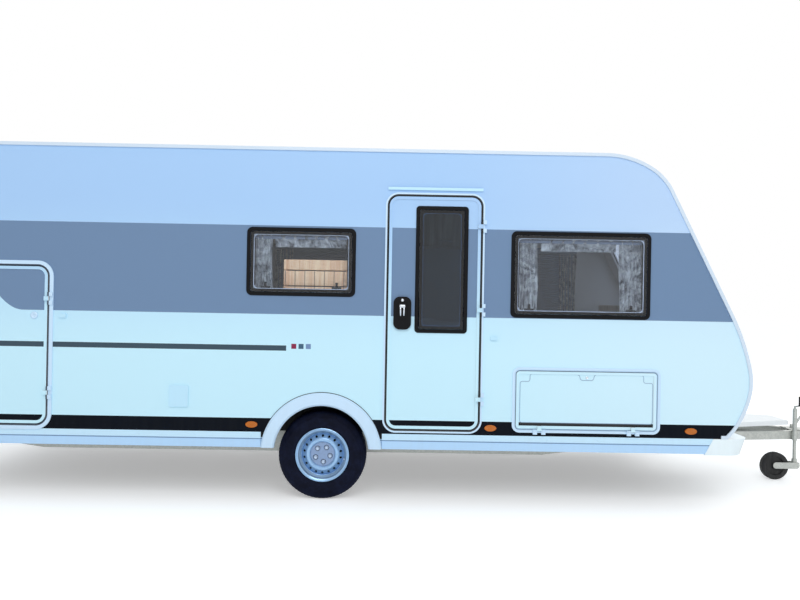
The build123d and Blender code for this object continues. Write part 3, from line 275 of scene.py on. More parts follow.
# Distance from the edge of a rounded plate in the X-Z plane, negative inside it
plate_edge, given, result = new_group(
    "plate_edge",
    [("Left", FLOAT, 0.0), ("Right", FLOAT, 1.0), ("Foot", FLOAT, 0.0), ("Top", FLOAT, 1.0),
     ("Radius", FLOAT, 0.05)],
    [("Distance", FLOAT)],
)
at = place_along(plate_edge)
radius = given.outputs["Radius"]
reach = []
for value, low, high in ((at.x, "Left", "Right"), (at.z, "Foot", "Top")):
    low, high = given.outputs[low], given.outputs[high]
    middle = times(plate_edge, plus(plate_edge, low, high), 0.5)
    half = times(plate_edge, minus(plate_edge, high, low), 0.5)
    away = math_out(plate_edge, "ABSOLUTE", minus(plate_edge, value, middle))
    reach.append(minus(plate_edge, away, minus(plate_edge, half, radius)))
squares = [math_out(plate_edge, "POWER", math_out(plate_edge, "MAXIMUM", r, 0.0), 2.0) for r in reach]
outer = math_out(plate_edge, "SQRT", plus(plate_edge, *squares))
inner = math_out(plate_edge, "MINIMUM", math_out(plate_edge, "MAXIMUM", *reach), 0.0)
feed(plate_edge, result, Distance=minus(plate_edge, plus(plate_edge, outer, inner), radius))

# Road film: soft vertical streaks that thicken towards the ground
road_film, given, result = new_group(
    "road_film",
    [("Amount", FLOAT, 0.3), ("Height", FLOAT, 0.9), ("Scale", FLOAT, 3.0)],
    [("Film", FLOAT)],
)
at = place_along(road_film)
drawn_down = put(road_film, "ShaderNodeMapping", {0: at.spot, "Scale": (9, 9, 0.7)}).outputs[0]
veil = ramp(road_film, noise_out(road_film, drawn_down, given.outputs["Scale"], 6, 0.62), 0.38, 0.78)
fall = ramp(road_film, at.z, 0.3, given.outputs["Height"], 1.0, 0.12, "SMOOTHSTEP")
feed(road_film, result, Film=times(road_film, times(road_film, veil, fall), given.outputs["Amount"]))

# Fine relief of a sprayed or moulded skin, with the slow wander of a large panel
skin_relief, given, result = new_group(
    "skin_relief",
    [("Grain", FLOAT, 500.0), ("Grain Depth", FLOAT, 0.2),
     ("Wander", FLOAT, 1.4), ("Wander Depth", FLOAT, 1.0)],
    [("Height", FLOAT)],
)
spot = place_along(skin_relief).spot
grain = noise_out(skin_relief, spot, given.outputs["Grain"], 2)
wander = noise_out(skin_relief, spot, given.outputs["Wander"], 1)
height = weigh(skin_relief, (grain, given.outputs["Grain Depth"]), (wander, given.outputs["Wander Depth"]))
feed(skin_relief, result, Height=height)

# The graphics, laid out by X from the axle and by height; the band sweeps up at the tail
livery, given, result = new_group(
    "livery",
    [("Foot From", FLOAT, 0.0), ("Leaf", FLOAT, 1.0)],
    [("Color", COLOR), ("Vinyl", FLOAT)],
)
at = place_along(livery)
leaf = given.outputs["Leaf"]
# Painted shade: the white darkens and turns bluer towards the top.
paint = mix_color(livery, ramp(livery, at.z, *SKY_SHADE_Z, shape="SMOOTHSTEP"), WHITE_LOW, WHITE_HIGH_SHADED)
# Painted light: the white pales towards the nose.
paint = mix_color(livery, ramp(livery, at.x, *NOSE_LIGHT_X, 0.0, NOSE_LIGHT_SHARE, "SMOOTHSTEP"), paint, NOSE_PAINTED_LIGHT)
tail = math_out(livery, "MAXIMUM", minus(livery, SWEEP_X, at.x), 0.0)
lift = times(livery, math_out(livery, "POWER", tail, 2.0), SWEEP_RISE)
band = inside_range(livery, at.z, plus(livery, lift, BAND_Z[0]), BAND_Z[1])
paint = mix_color(livery, times(livery, band, leaf), paint, BAND_GREY)
behind_end = math_out(livery, "LESS_THAN", at.x, STRIPE_END_X)
stripe = times(livery, times(livery, inside_range(livery, at.z, *STRIPE_Z), behind_end), leaf)
paint = mix_color(livery, stripe, paint, STRIPE_DARK)
for square in SQUARES:
    across = inside_range(livery, at.x, square["x"] - SQUARE_HALF, square["x"] + SQUARE_HALF)
    high = inside_range(livery, at.z, SQUARE_Z - SQUARE_HALF, SQUARE_Z + SQUARE_HALF)
    paint = mix_color(livery, times(livery, across, high), paint, square["color"])
foot = times(livery, inside_range(livery, at.z, given.outputs["Foot From"], FOOT_Z), leaf)
vinyl = math_out(livery, "MAXIMUM", math_out(livery, "MAXIMUM", band, stripe), foot)
feed(livery, result, Color=mix_color(livery, foot, paint, FOOT_BLACK), Vinyl=vinyl)

DUST = tone(150, 150, 142)


def add_film(tree, shader, color, amount, height=0.9, clean=0.3, dusty=0.6, scale=3.0):
    """Road film over a colour: feeds the shader's colour and roughness."""
    film = use_group(tree, road_film, Amount=amount, Height=height, Scale=scale).outputs["Film"]
    feed(tree, shader, Base_Color=mix_color(tree, film, color, DUST))
    feed(tree, shader, Roughness=ramp(tree, film, 0, 1, clean, dusty))


def add_bump(tree, shader, height, strength, distance):
    """Bump of a height on the shader."""
    bump = put(tree, "ShaderNodeBump", {"Height": height, "Strength": strength, "Distance": distance})
    feed(tree, shader, Normal=bump.outputs[0])


def add_relief(tree, shader, strength, distance, **skin):
    """Skin relief as a bump on the shader."""
    add_bump(tree, shader, use_group(tree, skin_relief, **skin).outputs["Height"], strength, distance)


# Papered ply that lines the cabin, on the faces turned towards its middle
LINING = tone(208, 208, 206)
CABIN_MIDDLE = (axle_x, 0, 1.5)
INWARD_LEAST = 0.05


def over_lining(tree, outside):
    """The outside colour, with the lining on the inner faces of the shell."""
    facing = put(tree, "ShaderNodeNewGeometry").outputs
    inward = put(tree, "ShaderNodeVectorMath", {0: CABIN_MIDDLE, 1: facing["Position"]}, operation="SUBTRACT")
    turned = {0: facing["Normal"], 1: inward.outputs[0]}
    along = put(tree, "ShaderNodeVectorMath", turned, operation="DOT_PRODUCT").outputs["Value"]
    return mix_color(tree, math_out(tree, "GREATER_THAN", along, INWARD_LEAST), outside, LINING)


LEAF_RIM = 0.0215
PAINT_SHEEN, VINYL_SHEEN = 0.16, 0.05


def wall_finish(name, leaf=None, foot_from=0.0):
    """Coated sheet with the graphics, kept inside a leaf's raised rim where one is given."""
    material, tree, shader = finish(name, Specular_IOR_Level=PAINT_SHEEN)
    graphics = use_group(tree, livery, Foot_From=foot_from)
    if leaf:
        edge = use_group(tree, plate_edge, **leaf).outputs["Distance"]
        feed(tree, graphics, Leaf=math_out(tree, "LESS_THAN", edge, -LEAF_RIM))
    sheen = ramp(tree, graphics.outputs["Vinyl"], 0, 1, PAINT_SHEEN, VINYL_SHEEN)
    feed(tree, shader, Specular_IOR_Level=sheen)
    add_film(tree, shader, over_lining(tree, graphics.outputs["Color"]), 0.012, 1.1, 0.24, 0.5)
    add_relief(tree, shader, 0.08, 0.01, Grain=420, Grain_Depth=0.02, Wander=1.1, Wander_Depth=1.0)
    return material


def dress(material, *nodes):
    """Gives CAD nodes a material."""
    for node in nodes:
        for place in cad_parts[node].material_slots:
            place.material = material


DOOR = dict(Left=0.462, Right=1.119, Foot=0.541, Top=2.206, Radius=0.066)
REAR_HATCH = dict(Left=-2.770, Right=-1.967, Foot=0.538, Top=1.657, Radius=0.070)
FRONT_HATCH = dict(Left=1.392, Right=2.403, Foot=0.556, Top=0.968, Radius=0.024)
dress(wall_finish("side_wall"), "right_wall", "left_wall")
dress(wall_finish("door_skin", DOOR, 0.560), "entrance_door")
dress(wall_finish("rear_hatch_skin", REAR_HATCH, 0.558), "rear_hatch")
dress(wall_finish("front_hatch_skin", FRONT_HATCH, 0.570), "front_hatch")

# Nose, tail and roof are the same sheet in plain white
SHELL_WHITE = tone(216, 238, 252)
shell_white, tree, shader = finish("shell_white", SHELL_WHITE, 0.28, Specular_IOR_Level=0.4)
add_film(tree, shader, over_lining(tree, SHELL_WHITE), 0.12, 1.2, 0.26, 0.6)
add_relief(tree, shader, 0.08, 0.01, Grain=420, Grain_Depth=0.02, Wander=1.3, Wander_Depth=1.0)
dress(shell_white, "front_wall", "rear_wall", "roof_panel", "locker_lid")

# ================================================================ edge trim, mouldings and skirts
# White extruded rails cover the panel joints; arch mouldings, skirts and corner
# caps are white moulded plastic and extruded aluminium, screwed along the foot.
TRIM_WHITE = tone(204, 231, 254)
WHITES = [
    dict(name="rail_white", color=tone(212, 227, 242), nodes=["edge_rails"]),
    dict(name="cap_white", color=tone(238, 250, 255), nodes=["corner_caps"]),
    dict(name="cover_white", color=tone(194, 234, 254), nodes=["service_covers", "side_fittings"]),
]
for entry in WHITES:
    white, tree, shader = finish(entry["name"], entry["color"], 0.32, Coat_Weight=0.2)
    add_film(tree, shader, entry["color"], 0.06, 1.0, 0.3, 0.6)
    add_relief(tree, shader, 0.1, 0.002, Grain=600, Grain_Depth=0.3, Wander=5, Wander_Depth=0.5)
    dress(white, *entry["nodes"])

# The bands round each leaf on its frame are partly a rubber lip and partly painted shade of the gap.
SEAL_BLACK_AND_GAP_SHADE = tone(14, 17, 24)
SEAL_SLATE_AND_GAP_SHADE = tone(52, 66, 84)
SEAL_GREY_AND_GAP_SHADE = tone(194, 222, 246)
LIP_AND_SHADE_SPAN = (-0.05, 0.0155)


def trim_finish(name, film, *seals):
    """Trim white, with a band round each leaf that is partly a rubber lip and partly painted shade of the
    gap: pairs of a leaf and a colour.
    """
    material, tree, shader = finish(name, TRIM_WHITE, 0.3, Coat_Weight=0.2)
    paint = TRIM_WHITE
    for leaf, rubber in seals:
        edge = use_group(tree, plate_edge, **leaf).outputs["Distance"]
        paint = mix_color(tree, inside_range(tree, edge, *LIP_AND_SHADE_SPAN), paint, rubber)
    add_film(tree, shader, paint, film, 1.0, 0.3, 0.6)
    add_relief(tree, shader, 0.1, 0.002, Grain=700, Grain_Depth=0.3, Wander=6, Wander_Depth=0.4)
    return material


trim_white = trim_finish("trim_white", 0.1)
dress(trim_white, "arch_mouldings", "roof_vents", "grab_handles", "lamp_carrier")
dress(trim_finish("door_frame_white", 0.06, (DOOR, SEAL_BLACK_AND_GAP_SHADE)), "door_frame")
hatch_seals = [(REAR_HATCH, SEAL_SLATE_AND_GAP_SHADE), (FRONT_HATCH, SEAL_GREY_AND_GAP_SHADE)]
dress(trim_finish("hatch_frame_white", 0.06, *hatch_seals), "hatch_frames")

SKIRT_WHITE = tone(182, 219, 253)
# The skirt's upper lip is painted lighter as painted light, and its groove painted dark as painted shade.
SKIRT_UPPER_LIT = tone(200, 234, 255)
GROOVE_SHADE = tone(118, 150, 186)
SKIRT_GROOVE = (0.449, 0.457)
skirt_white, tree, shader = finish("skirt_white", SKIRT_WHITE, 0.34, Coat_Weight=0.2)
at = place_along(tree)
paint = mix_color(tree, math_out(tree, "GREATER_THAN", at.z, SKIRT_GROOVE[1]), SKIRT_WHITE, SKIRT_UPPER_LIT)
paint = mix_color(tree, inside_range(tree, at.z, *SKIRT_GROOVE), paint, GROOVE_SHADE)
add_film(tree, shader, paint, 0.06, 0.9, 0.32, 0.6, 4.0)
add_relief(tree, shader, 0.1, 0.002, Grain=700, Grain_Depth=0.3, Wander=6, Wander_Depth=0.4)
dress(skirt_white, "side_skirts")

# ================================================================ windows
# Double acrylic panes, smoked, with a black printed border that hides the
# bonding. They sit in a black surround over the hole, held by stays and latches.


def tinted_acrylic(name, tint):
    """Clear tinted sheet that lets the light of the lamps through."""
    glass = dict(IOR=1.49, Transmission_Weight=1.0, Specular_IOR_Level=0.14)
    material, tree, shader = finish(name, tint, 0.02, **glass)
    shaded = put(tree, "ShaderNodeLightPath").outputs["Is Shadow Ray"]
    clear = put(tree, "ShaderNodeBsdfTransparent", {"Color": tint})
    blend = put(tree, "ShaderNodeMixShader", {0: shaded, 1: shader.outputs[0], 2: clear.outputs[0]})
    feed(tree, tree.nodes["Material Output"], Surface=blend.outputs[0])
    add_bump(tree, shader, noise_out(tree, place_along(tree).spot, 2.2, 2), 0.12, 0.02)
    return material


dress(tinted_acrylic("smoked_acrylic", tone(224, 233, 246)), "window_panes")
dress(tinted_acrylic("door_acrylic", tone(114, 142, 172)), "door_pane")


def plain_finish(name, color, roughness, film=0.15, **sockets):
    """Moulded or painted finish with a little road film and a fine grain."""
    material, tree, shader = finish(name, color, roughness, **sockets)
    add_film(tree, shader, color, film, 1.2, roughness, min(1.0, roughness + 0.25))
    add_relief(tree, shader, 0.25, 0.001, Grain=900, Grain_Depth=0.6, Wander=9, Wander_Depth=0.4)
    return material


surround_black = plain_finish("surround_black", tone(8, 9, 13), 0.24, 0.008, Specular_IOR_Level=0.16)
print_black = plain_finish("print_black", tone(6, 7, 9), 0.2, 0.004, Specular_IOR_Level=0.12)
lip_grey = plain_finish("lip_grey", tone(214, 220, 228), 0.3, 0.02)
dress(surround_black, "window_surrounds", "door_trim")

# Sides are -1 for the entrance side; curtains give the share of the width drawn at the rear and front
WINDOWS = [
    dict(name="kitchen", side=-1, x=(-0.555, 0.225), z=(1.478, 1.968), curtains=(0.24, 0.07), blind=0.04),
    dict(name="nose_right", side=-1, x=(1.340, 2.347), z=(1.350, 1.972), curtains=(0.20, 0.22), blind=0.04),
    dict(name="nose_left", side=1, x=(1.340, 2.347), z=(1.350, 1.972), curtains=(0.18, 0.18), blind=0.62),
    dict(name="dinette", side=1, x=(-0.700, 0.500), z=(1.400, 1.972), curtains=(0.16, 0.16), blind=0.40),
    dict(name="bunk", side=1, x=(-2.700, -2.060), z=(1.450, 1.972), curtains=(0.20, 0.20), blind=0.40),
]
WALL_FACE = 1.160
WALL_DEPTH = 0.034
SURROUND_W = 0.026
HOLE_IN = 0.046
HOLE_RADIUS = 0.038
PANE_RADIUS = 0.026
CORNER_STEPS = 8
AT_AXLE = Matrix.Translation((axle_x, 0, 0))


def rounded_outline(width, height, radius, inset=0.0):
    """Points of a rounded rectangle about the origin, anticlockwise."""
    half_w, half_h, r = width / 2 - inset, height / 2 - inset, max(radius - inset, 0.001)
    outline = []
    for turn, (sx, sz) in enumerate(((1, 1), (-1, 1), (-1, -1), (1, -1))):
        for step in range(CORNER_STEPS + 1):
            angle = pi / 2 * (turn + step / CORNER_STEPS)
            outline.append((sx * (half_w - r) + r * cos(angle), sz * (half_h - r) + r * sin(angle)))
    return outline


def skin_rings(mesh, rings, closed=False):
    """Strips between rings of points, each as long as the next; closed joins the last to the first."""
    for ring, after in zip(rings, rings[1:] + rings[:1] if closed else rings[1:]):
        for k in range(len(ring)):
            j = (k + 1) % len(ring)
            mesh.faces.new((ring[k], ring[j], after[j], after[k]))


def piece_from(mesh, name, material, body="caravan", smooth=True):
    """Turns a bmesh into a piece that rides on a body."""
    bmesh.ops.recalc_face_normals(mesh, faces=mesh.faces)
    data = bpy.data.meshes.new(name)
    mesh.to_mesh(data)
    mesh.free()
    data.materials.append(material)
    data.polygons.foreach_set("use_smooth", [smooth] * len(data.polygons))
    piece = bpy.data.objects.new(name, data)
    bpy.context.scene.collection.objects.link(piece)
    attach(piece, body)
    return piece


def add_block(mesh, place, low, high, bevel=0.002):
    """Box with rounded edges between two corners."""
    low, high = Vector(low), Vector(high)
    size = high - low
    shape = place @ Matrix.Translation((low + high) / 2) @ Matrix.Diagonal((*size, 1))
    made = bmesh.ops.create_cube(mesh, size=1.0, matrix=shape)
    edges = list({e for v in made["verts"] for e in v.link_edges})
    bevel = min(bevel, min(size) * 0.45)
    bmesh.ops.bevel(mesh, geom=edges, offset=bevel, segments=2, affect="EDGES", profile=0.6)


def add_tube(mesh, place, points, radius, sides=12, closed=False):
    """Round bar along points; each joint is turned by the mean direction."""
    points = [place @ Vector(p) for p in points]
    rings = []
    count = len(points)
    for i, point in enumerate(points):
        before = points[i - 1] if i or closed else point
        after = points[(i + 1) % count] if i + 1 < count or closed else point
        along = (after - before).normalized()
        across = along.cross(Vector((0, 0, 1)) if abs(along.z) < 0.9 else Vector((1, 0, 0))).normalized()
        lift = along.cross(across)
        turns = [tau * k / sides for k in range(sides)]
        rings.append([mesh.verts.new(point + (across * cos(t) + lift * sin(t)) * radius) for t in turns])
    skin_rings(mesh, rings, closed)
    if not closed:
        mesh.faces.new(rings[0][::-1])
        mesh.faces.new(rings[-1])


def add_turned(mesh, place, profile, sides=24, foot=True, ring=False):
    """Solid turned about local z from (radius, z) points; foot closes its start, ring joins end to start."""
    turns = [tau * k / sides for k in range(sides)]
    rings = [[mesh.verts.new(place @ Vector((r * cos(t), r * sin(t), z))) for t in turns] for r, z in profile]
    skin_rings(mesh, rings, closed=ring)
    if foot and not ring:
        mesh.faces.new(rings[0][::-1])
    if not ring:
        mesh.faces.new(rings[-1])


def side_frame(at, towards):
    """Frame at a point: local x forwards, local y up, local z along Y, towards +1 or -1."""
    return Matrix(((1, 0, 0, at[0]), (0, 0, towards, at[1]), (0, 1, 0, at[2]), (0, 0, 0, 1)))


def wall_place(side, x, z):
    """Frame on a side wall's face: local x forwards, local y up, local z inwards."""
    return side_frame((axle_x + x, side * WALL_FACE, z), -side)


def outer_frame(middle, along, upward, inward):
    """Frame of an opening from its middle, with X from the axle: local x along, y up, z inwards."""
    rows = [(a, u, i, m) for a, u, i, m in zip(along, upward, inward, (middle[0] + axle_x, *middle[1:]))]
    return Matrix((*rows, (0, 0, 0, 1)))


RAKE = (0.4508, 0.8926)
front_frame = outer_frame((2.725, 0, 1.8415), (0, 1, 0), (-RAKE[0], 0, RAKE[1]), (-RAKE[1], 0, -RAKE[0]))
rear_frame = outer_frame((-2.950, 0, 1.700), (0, 1, 0), (0, 0, 1), (1, 0, 0))
openings = [
    dict(name="front", place=front_frame, size=(1.860, 0.760)),
    dict(name="rear", place=rear_frame, size=(1.240, 0.560)),
    dict(name="door", place=wall_place(-1, 0.8415, 1.685), size=(0.377, 0.910), body="entrance_door",
         radius=0.012),
]
for entry in WINDOWS:
    place = wall_place(entry["side"], sum(entry["x"]) / 2, sum(entry["z"]) / 2)
    size = (entry["x"][1] - entry["x"][0], entry["z"][1] - entry["z"][0])
    openings.append(dict(name=entry["name"], place=place, size=size))

# Rings of the printed border as inset and height over the pane, then the lip round the hole inside
PRINT_RINGS = [(0.003, 0.001), (0.024, 0.001)]
LIP = dict(clear=0.004, depth=0.006, radius=0.004)
# Each latch is a pad and its turning tongue, measured up from the foot of the opening and inwards
LATCH_IN = 0.135
LATCH = [
    dict(half=0.034, foot=0.052, top=0.068, near=0.004, far=0.026, edge=0.004),
    dict(half=0.009, foot=0.066, top=0.100, near=0.008, far=0.020, edge=0.003),
]
STAY = dict(inset=0.058, end=0.075, middle=-0.04, depth=0.012, bow=0.016, radius=0.004)
for entry in openings:
    name, place, body = entry["name"], entry["place"], entry.get("body", "caravan")
    width, height = entry["size"]
    mesh = bmesh.new()
    rings = []
    for inset, over in PRINT_RINGS:
        radius = entry.get("radius", PANE_RADIUS)
        line = rounded_outline(width - 2 * SURROUND_W, height - 2 * SURROUND_W, radius, inset)
        rings.append([mesh.verts.new(place @ Vector((x, z, -over))) for x, z in line])
    skin_rings(mesh, rings)
    piece_from(mesh, "print_border_" + name, print_black, body)
    mesh = bmesh.new()
    hole = rounded_outline(width, height, HOLE_RADIUS + HOLE_IN, HOLE_IN + LIP["clear"])
    add_tube(mesh, place, [(x, z, LIP["depth"]) for x, z in hole], LIP["radius"], 8, closed=True)
    piece_from(mesh, "inner_lip_" + name, lip_grey, body)
    if body != "caravan":
        continue
    mesh = bmesh.new()
    for sign in (-1, 1):
        x = sign * (width / 2 - LATCH_IN)
        for part in LATCH:
            low = (x - part["half"], -height / 2 + part["foot"], part["near"])
            high = (x + part["half"], -height / 2 + part["top"], part["far"])
            add_block(mesh, place, low, high, part["edge"])
        x, end = sign * (width / 2 - STAY["inset"]), height / 2 - STAY["end"]
        stay = [(x, -end, STAY["depth"]), (x, STAY["middle"], STAY["bow"]), (x, end, STAY["depth"])]
        add_tube(mesh, place, stay, STAY["radius"], 8)
    piece_from(mesh, "latches_and_stays_" + name, print_black, body)

# ================================================================ roller blinds and curtains
# Each side window has a pleated blind inside, let down part way from its head
# box, and gathered curtains of thin grey voile that hang from a rail.
VOILE = tone(206, 206, 200)
VOILE_FOLD_SHADE = tone(62, 64, 66)
voile, tree, shader = finish("voile", VOILE, 0.4, Sheen_Weight=0.2)
spot = place_along(tree).spot
threads = noise_out(tree, spot, 900, 2)
crumple = noise_out(tree, spot, 11, 6, 0.62, 1.6)
# The crumple paints the voile dark in its hollows, as painted shade.
feed(tree, shader, Base_Color=mix_color(tree, ramp(tree, crumple, 0.36, 0.66), VOILE_FOLD_SHADE, VOILE))
add_bump(tree, shader, plus(tree, times(tree, threads, 0.06), crumple), 0.9, 0.02)
blind_grey = plain_finish("blind_grey", tone(128, 138, 152), 0.6, 0.02)

CURTAIN_IN = 0.050
CURTAIN_PAST = 0.02
CURTAIN_BELOW = 0.03
CURTAIN_ROWS = 26
CURTAIN_STEPS = 60
CURTAIN_FOLDS = 6.5
FOLD_DEPTH = 0.016


def curtain(window, part, left, right, foot, top, seed):
    """Gathered curtain: folds deepen towards the hem, which swings a little."""
    points = []
    for row in range(CURTAIN_ROWS + 1):
        drop = row / CURTAIN_ROWS
        for step in range(CURTAIN_STEPS + 1):
            across = step / CURTAIN_STEPS
            wave = sin(tau * CURTAIN_FOLDS * across + 0.8 * sin(3 * drop + seed))
            ripple = noise.noise(Vector((across * 7, drop * 4, seed))) * 0.008
            x = left + (right - left) * across + 0.006 * sin(5 * drop + seed + across * 9)
            inset = CURTAIN_IN + FOLD_DEPTH * wave * (0.45 + 0.55 * drop) + ripple
            points.append((axle_x + x, window["side"] * (WALL_FACE - inset), top - (top - foot) * drop))
    wide = CURTAIN_STEPS + 1
    faces = [(r * wide + i, r * wide + i + 1, (r + 1) * wide + i + 1, (r + 1) * wide + i)
             for r in range(CURTAIN_ROWS) for i in range(CURTAIN_STEPS)]
    piece = mesh_piece(f"curtain_{window['name']}_{part}", points, faces, voile)
    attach(piece, "caravan")


PLEAT = 0.020
PLEAT_DEPTH = 0.010
HEAD_HALF = 0.030
VALANCE_DROP = 0.150
for number, entry in enumerate(WINDOWS):
    side, seed = entry["side"], number * 2.1
    left, right = entry["x"][0] + HOLE_IN - CURTAIN_PAST, entry["x"][1] - HOLE_IN + CURTAIN_PAST
    top = entry["z"][1] + 0.012
    half = (right - left) / 2
    place = wall_place(side, (left + right) / 2, top)
    mesh = bmesh.new()
    low = (-half - CURTAIN_PAST, -HEAD_HALF, WALL_DEPTH + 0.002)
    add_block(mesh, place, low, (half + CURTAIN_PAST, HEAD_HALF, WALL_DEPTH + 0.058), 0.008)
    pleats = int(entry["blind"] / PLEAT)
    rows = []
    for i in range(pleats * 2 + 1):
        y, z = -HEAD_HALF - i * PLEAT / 2, WALL_DEPTH + 0.014 + (PLEAT_DEPTH if i % 2 else 0)
        rows.append([mesh.verts.new(place @ Vector((x, y, z))) for x in (-half, half)])
    for a, b in zip(rows, rows[1:]):
        mesh.faces.new((a[0], a[1], b[1], b[0]))
    bar = -HEAD_HALF - pleats * PLEAT
    add_block(mesh, place, (-half, bar - 0.022, WALL_DEPTH + 0.008), (half, bar, WALL_DEPTH + 0.030), 0.005)
    piece_from(mesh, "blind_" + entry["name"], blind_grey, smooth=False)
    rear, front = [(right - left) * share for share in entry["curtains"]]
    foot, rail = entry["z"][0] - CURTAIN_BELOW, top - 0.032
    curtain(entry, "rear", left - CURTAIN_PAST, left - CURTAIN_PAST + rear, foot, rail, seed)
    curtain(entry, "front", right + CURTAIN_PAST - front, right + CURTAIN_PAST, foot, rail, seed + 1)
    if side < 0:
        curtain(entry, "valance", left + rear, right - front, top - VALANCE_DROP, rail - 0.002, seed + 2)

# ================================================================ road wheels
# Pressed steel wheels sprayed silver, with a row of vent holes and five bolts,
# on van tyres: ribbed tread, cut shoulders and fine rings on the sidewall.
SIDES = {"right": -1, "left": 1}
HUB_OUT = 0.975
TYRE_TURNS = 288
BLOCK_STEPS = 4
GROOVE = 0.0075
CROWN_R = 0.3215
CROWN_DROP = 0.0030
TREAD_HALF = 0.066
# Sidewall from bead to shoulder as (radius, across), and the inside from bead to crown
SIDE_PROFILE = [
    (0.1795, 0.0700), (0.188, 0.0745), (0.1965, 0.0785), (0.2025, 0.0850), (0.206, 0.0890), (0.209, 0.0878),
    (0.222, 0.0922), (0.238, 0.0945), (0.252, 0.0948), (0.268, 0.0940), (0.276, 0.0930), (0.278, 0.0905),
    (0.290, 0.0880), (0.299, 0.0850), (0.306, 0.0805), (0.312, 0.0752), (0.3165, 0.0700),
]
LINER = [(0.186, 0.064), (0.215, 0.076), (0.262, 0.078), (0.300, 0.060), (0.304, 0.0)]
# Tread from shoulder to middle, as distance across for each kind of band
TREAD = [
    ("shoulder", (TREAD_HALF, 0.060, 0.052, 0.0465)),
    ("groove", (0.0455, 0.0395)),
    ("siped", (0.0385, 0.030)),
    ("rib", (0.0215,)),
    ("groove", (0.0205, 0.0145)),
    ("rib", (0.0135, 0.006, 0.0)),
]
CUT_DEPTH = {"shoulder": GROOVE * 0.9, "siped": GROOVE * 0.45}


def from_axle(tree):
    """Distance of the point being shaded from the axle's line."""
    at = place_along(tree)
    rise = minus(tree, at.z, hub_z)
    return math_out(tree, "SQRT", plus(tree, times(tree, at.x, at.x), times(tree, rise, rise)))


FLANK = (0.228, 0.266)
FLANK_RINGS = 1500
TREAD_DUST_R = (0.295, 0.321)
black_rubber, tree, shader = finish("black_rubber", tone(27, 29, 33), 0.72, Specular_IOR_Level=0.12)
spot, reach = place_along(tree).spot, from_axle(tree)
rings = math_out(tree, "SINE", times(tree, reach, FLANK_RINGS))
rings = times(tree, rings, inside_range(tree, reach, *FLANK))
dust = ramp(tree, noise_out(tree, spot, 14, 5, 0.65), 0.42, 0.72, 0, 0.28)
dust = plus(tree, dust, ramp(tree, reach, *TREAD_DUST_R, 0, 0.22))
feed(tree, shader, Base_Color=mix_color(tree, dust, tone(4, 8, 28), tone(38, 46, 76)))
feed(tree, shader, Roughness=ramp(tree, dust, 0, 1, 0.62, 0.9))
add_bump(tree, shader, weigh(tree, (rings, 0.5), (noise_out(tree, spot, 240, 4), 0.4)), 0.5, 0.0012)


def tyre_profile():
    """Closed section of (radius, across, kind), outer bead to inner bead and back inside."""
    half = [(r, w, "side") for r, w in SIDE_PROFILE]
    for kind, band in TREAD:
        sunk = GROOVE if kind == "groove" else 0
        half += [(CROWN_R - CROWN_DROP * (w / TREAD_HALF) ** 2 - sunk, w, kind) for w in band]
    other = [(r, -w, kind) for r, w, kind in reversed(half[:-1])]
    liner = [(r, -w, "side") for r, w in LINER] + [(r, w, "side") for r, w in reversed(LINER[:-1])]
    return half + other + liner


def make_tyre(name, place):
    """Ring of sections; shoulder blocks and rib sipes are cut by sinking every few sections."""
    mesh = bmesh.new()
    profile, rings = tyre_profile(), []
    for i in range(TYRE_TURNS):
        angle = tau * i / TYRE_TURNS
        ring = []
        for r, w, kind in profile:
            if (i + (2 if w < 0 else 0)) % BLOCK_STEPS == 0:
                r -= CUT_DEPTH.get(kind, 0)
            ring.append(mesh.verts.new(place @ Vector((r * cos(angle), r * sin(angle), w))))
        rings.append(ring)
    skin_rings(mesh, rings, closed=True)
    tyre = piece_from(mesh, f"tyre_{name}", black_rubber, f"wheel_{name}")
    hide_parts(f"wheel_{name}_tyre")


HUB_R = 0.088
VALLEY_SHADE = (0.156, 0.178)
rim_silver, tree, shader = finish("rim_silver", tone(176, 196, 214), 0.34, Metallic=0.55, Coat_Weight=0.2)
spot, reach = place_along(tree).spot, from_axle(tree)
chips = ramp(tree, noise_out(tree, spot, 60, 5, 0.7), 0.55, 0.8, 0, 0.55)
paint = mix_color(tree, math_out(tree, "LESS_THAN", reach, HUB_R), tone(150, 188, 226), tone(134, 156, 190))
# The pressed valley ring is painted half way to grey, as painted shade.
paint = mix_color(tree, times(tree, inside_range(tree, reach, *VALLEY_SHADE), 0.5), paint, tone(96, 104, 112))
feed(tree, shader, Base_Color=mix_color(tree, chips, paint, tone(84, 78, 72)))
feed(tree, shader, Roughness=ramp(tree, chips, 0, 1, 0.3, 0.7))
add_relief(tree, shader, 0.15, 0.001, Grain=500, Grain_Depth=0.5, Wander=20, Wander_Depth=0.4)
dress(rim_silver, "wheel_left_rim", "wheel_right_rim")

bolt_steel = plain_finish("bolt_steel", tone(186, 202, 222), 0.35, 0.1, Metallic=0.7)
seat_shade = plain_finish("bolt_seat_shade", tone(52, 64, 86), 0.6, 0.1)
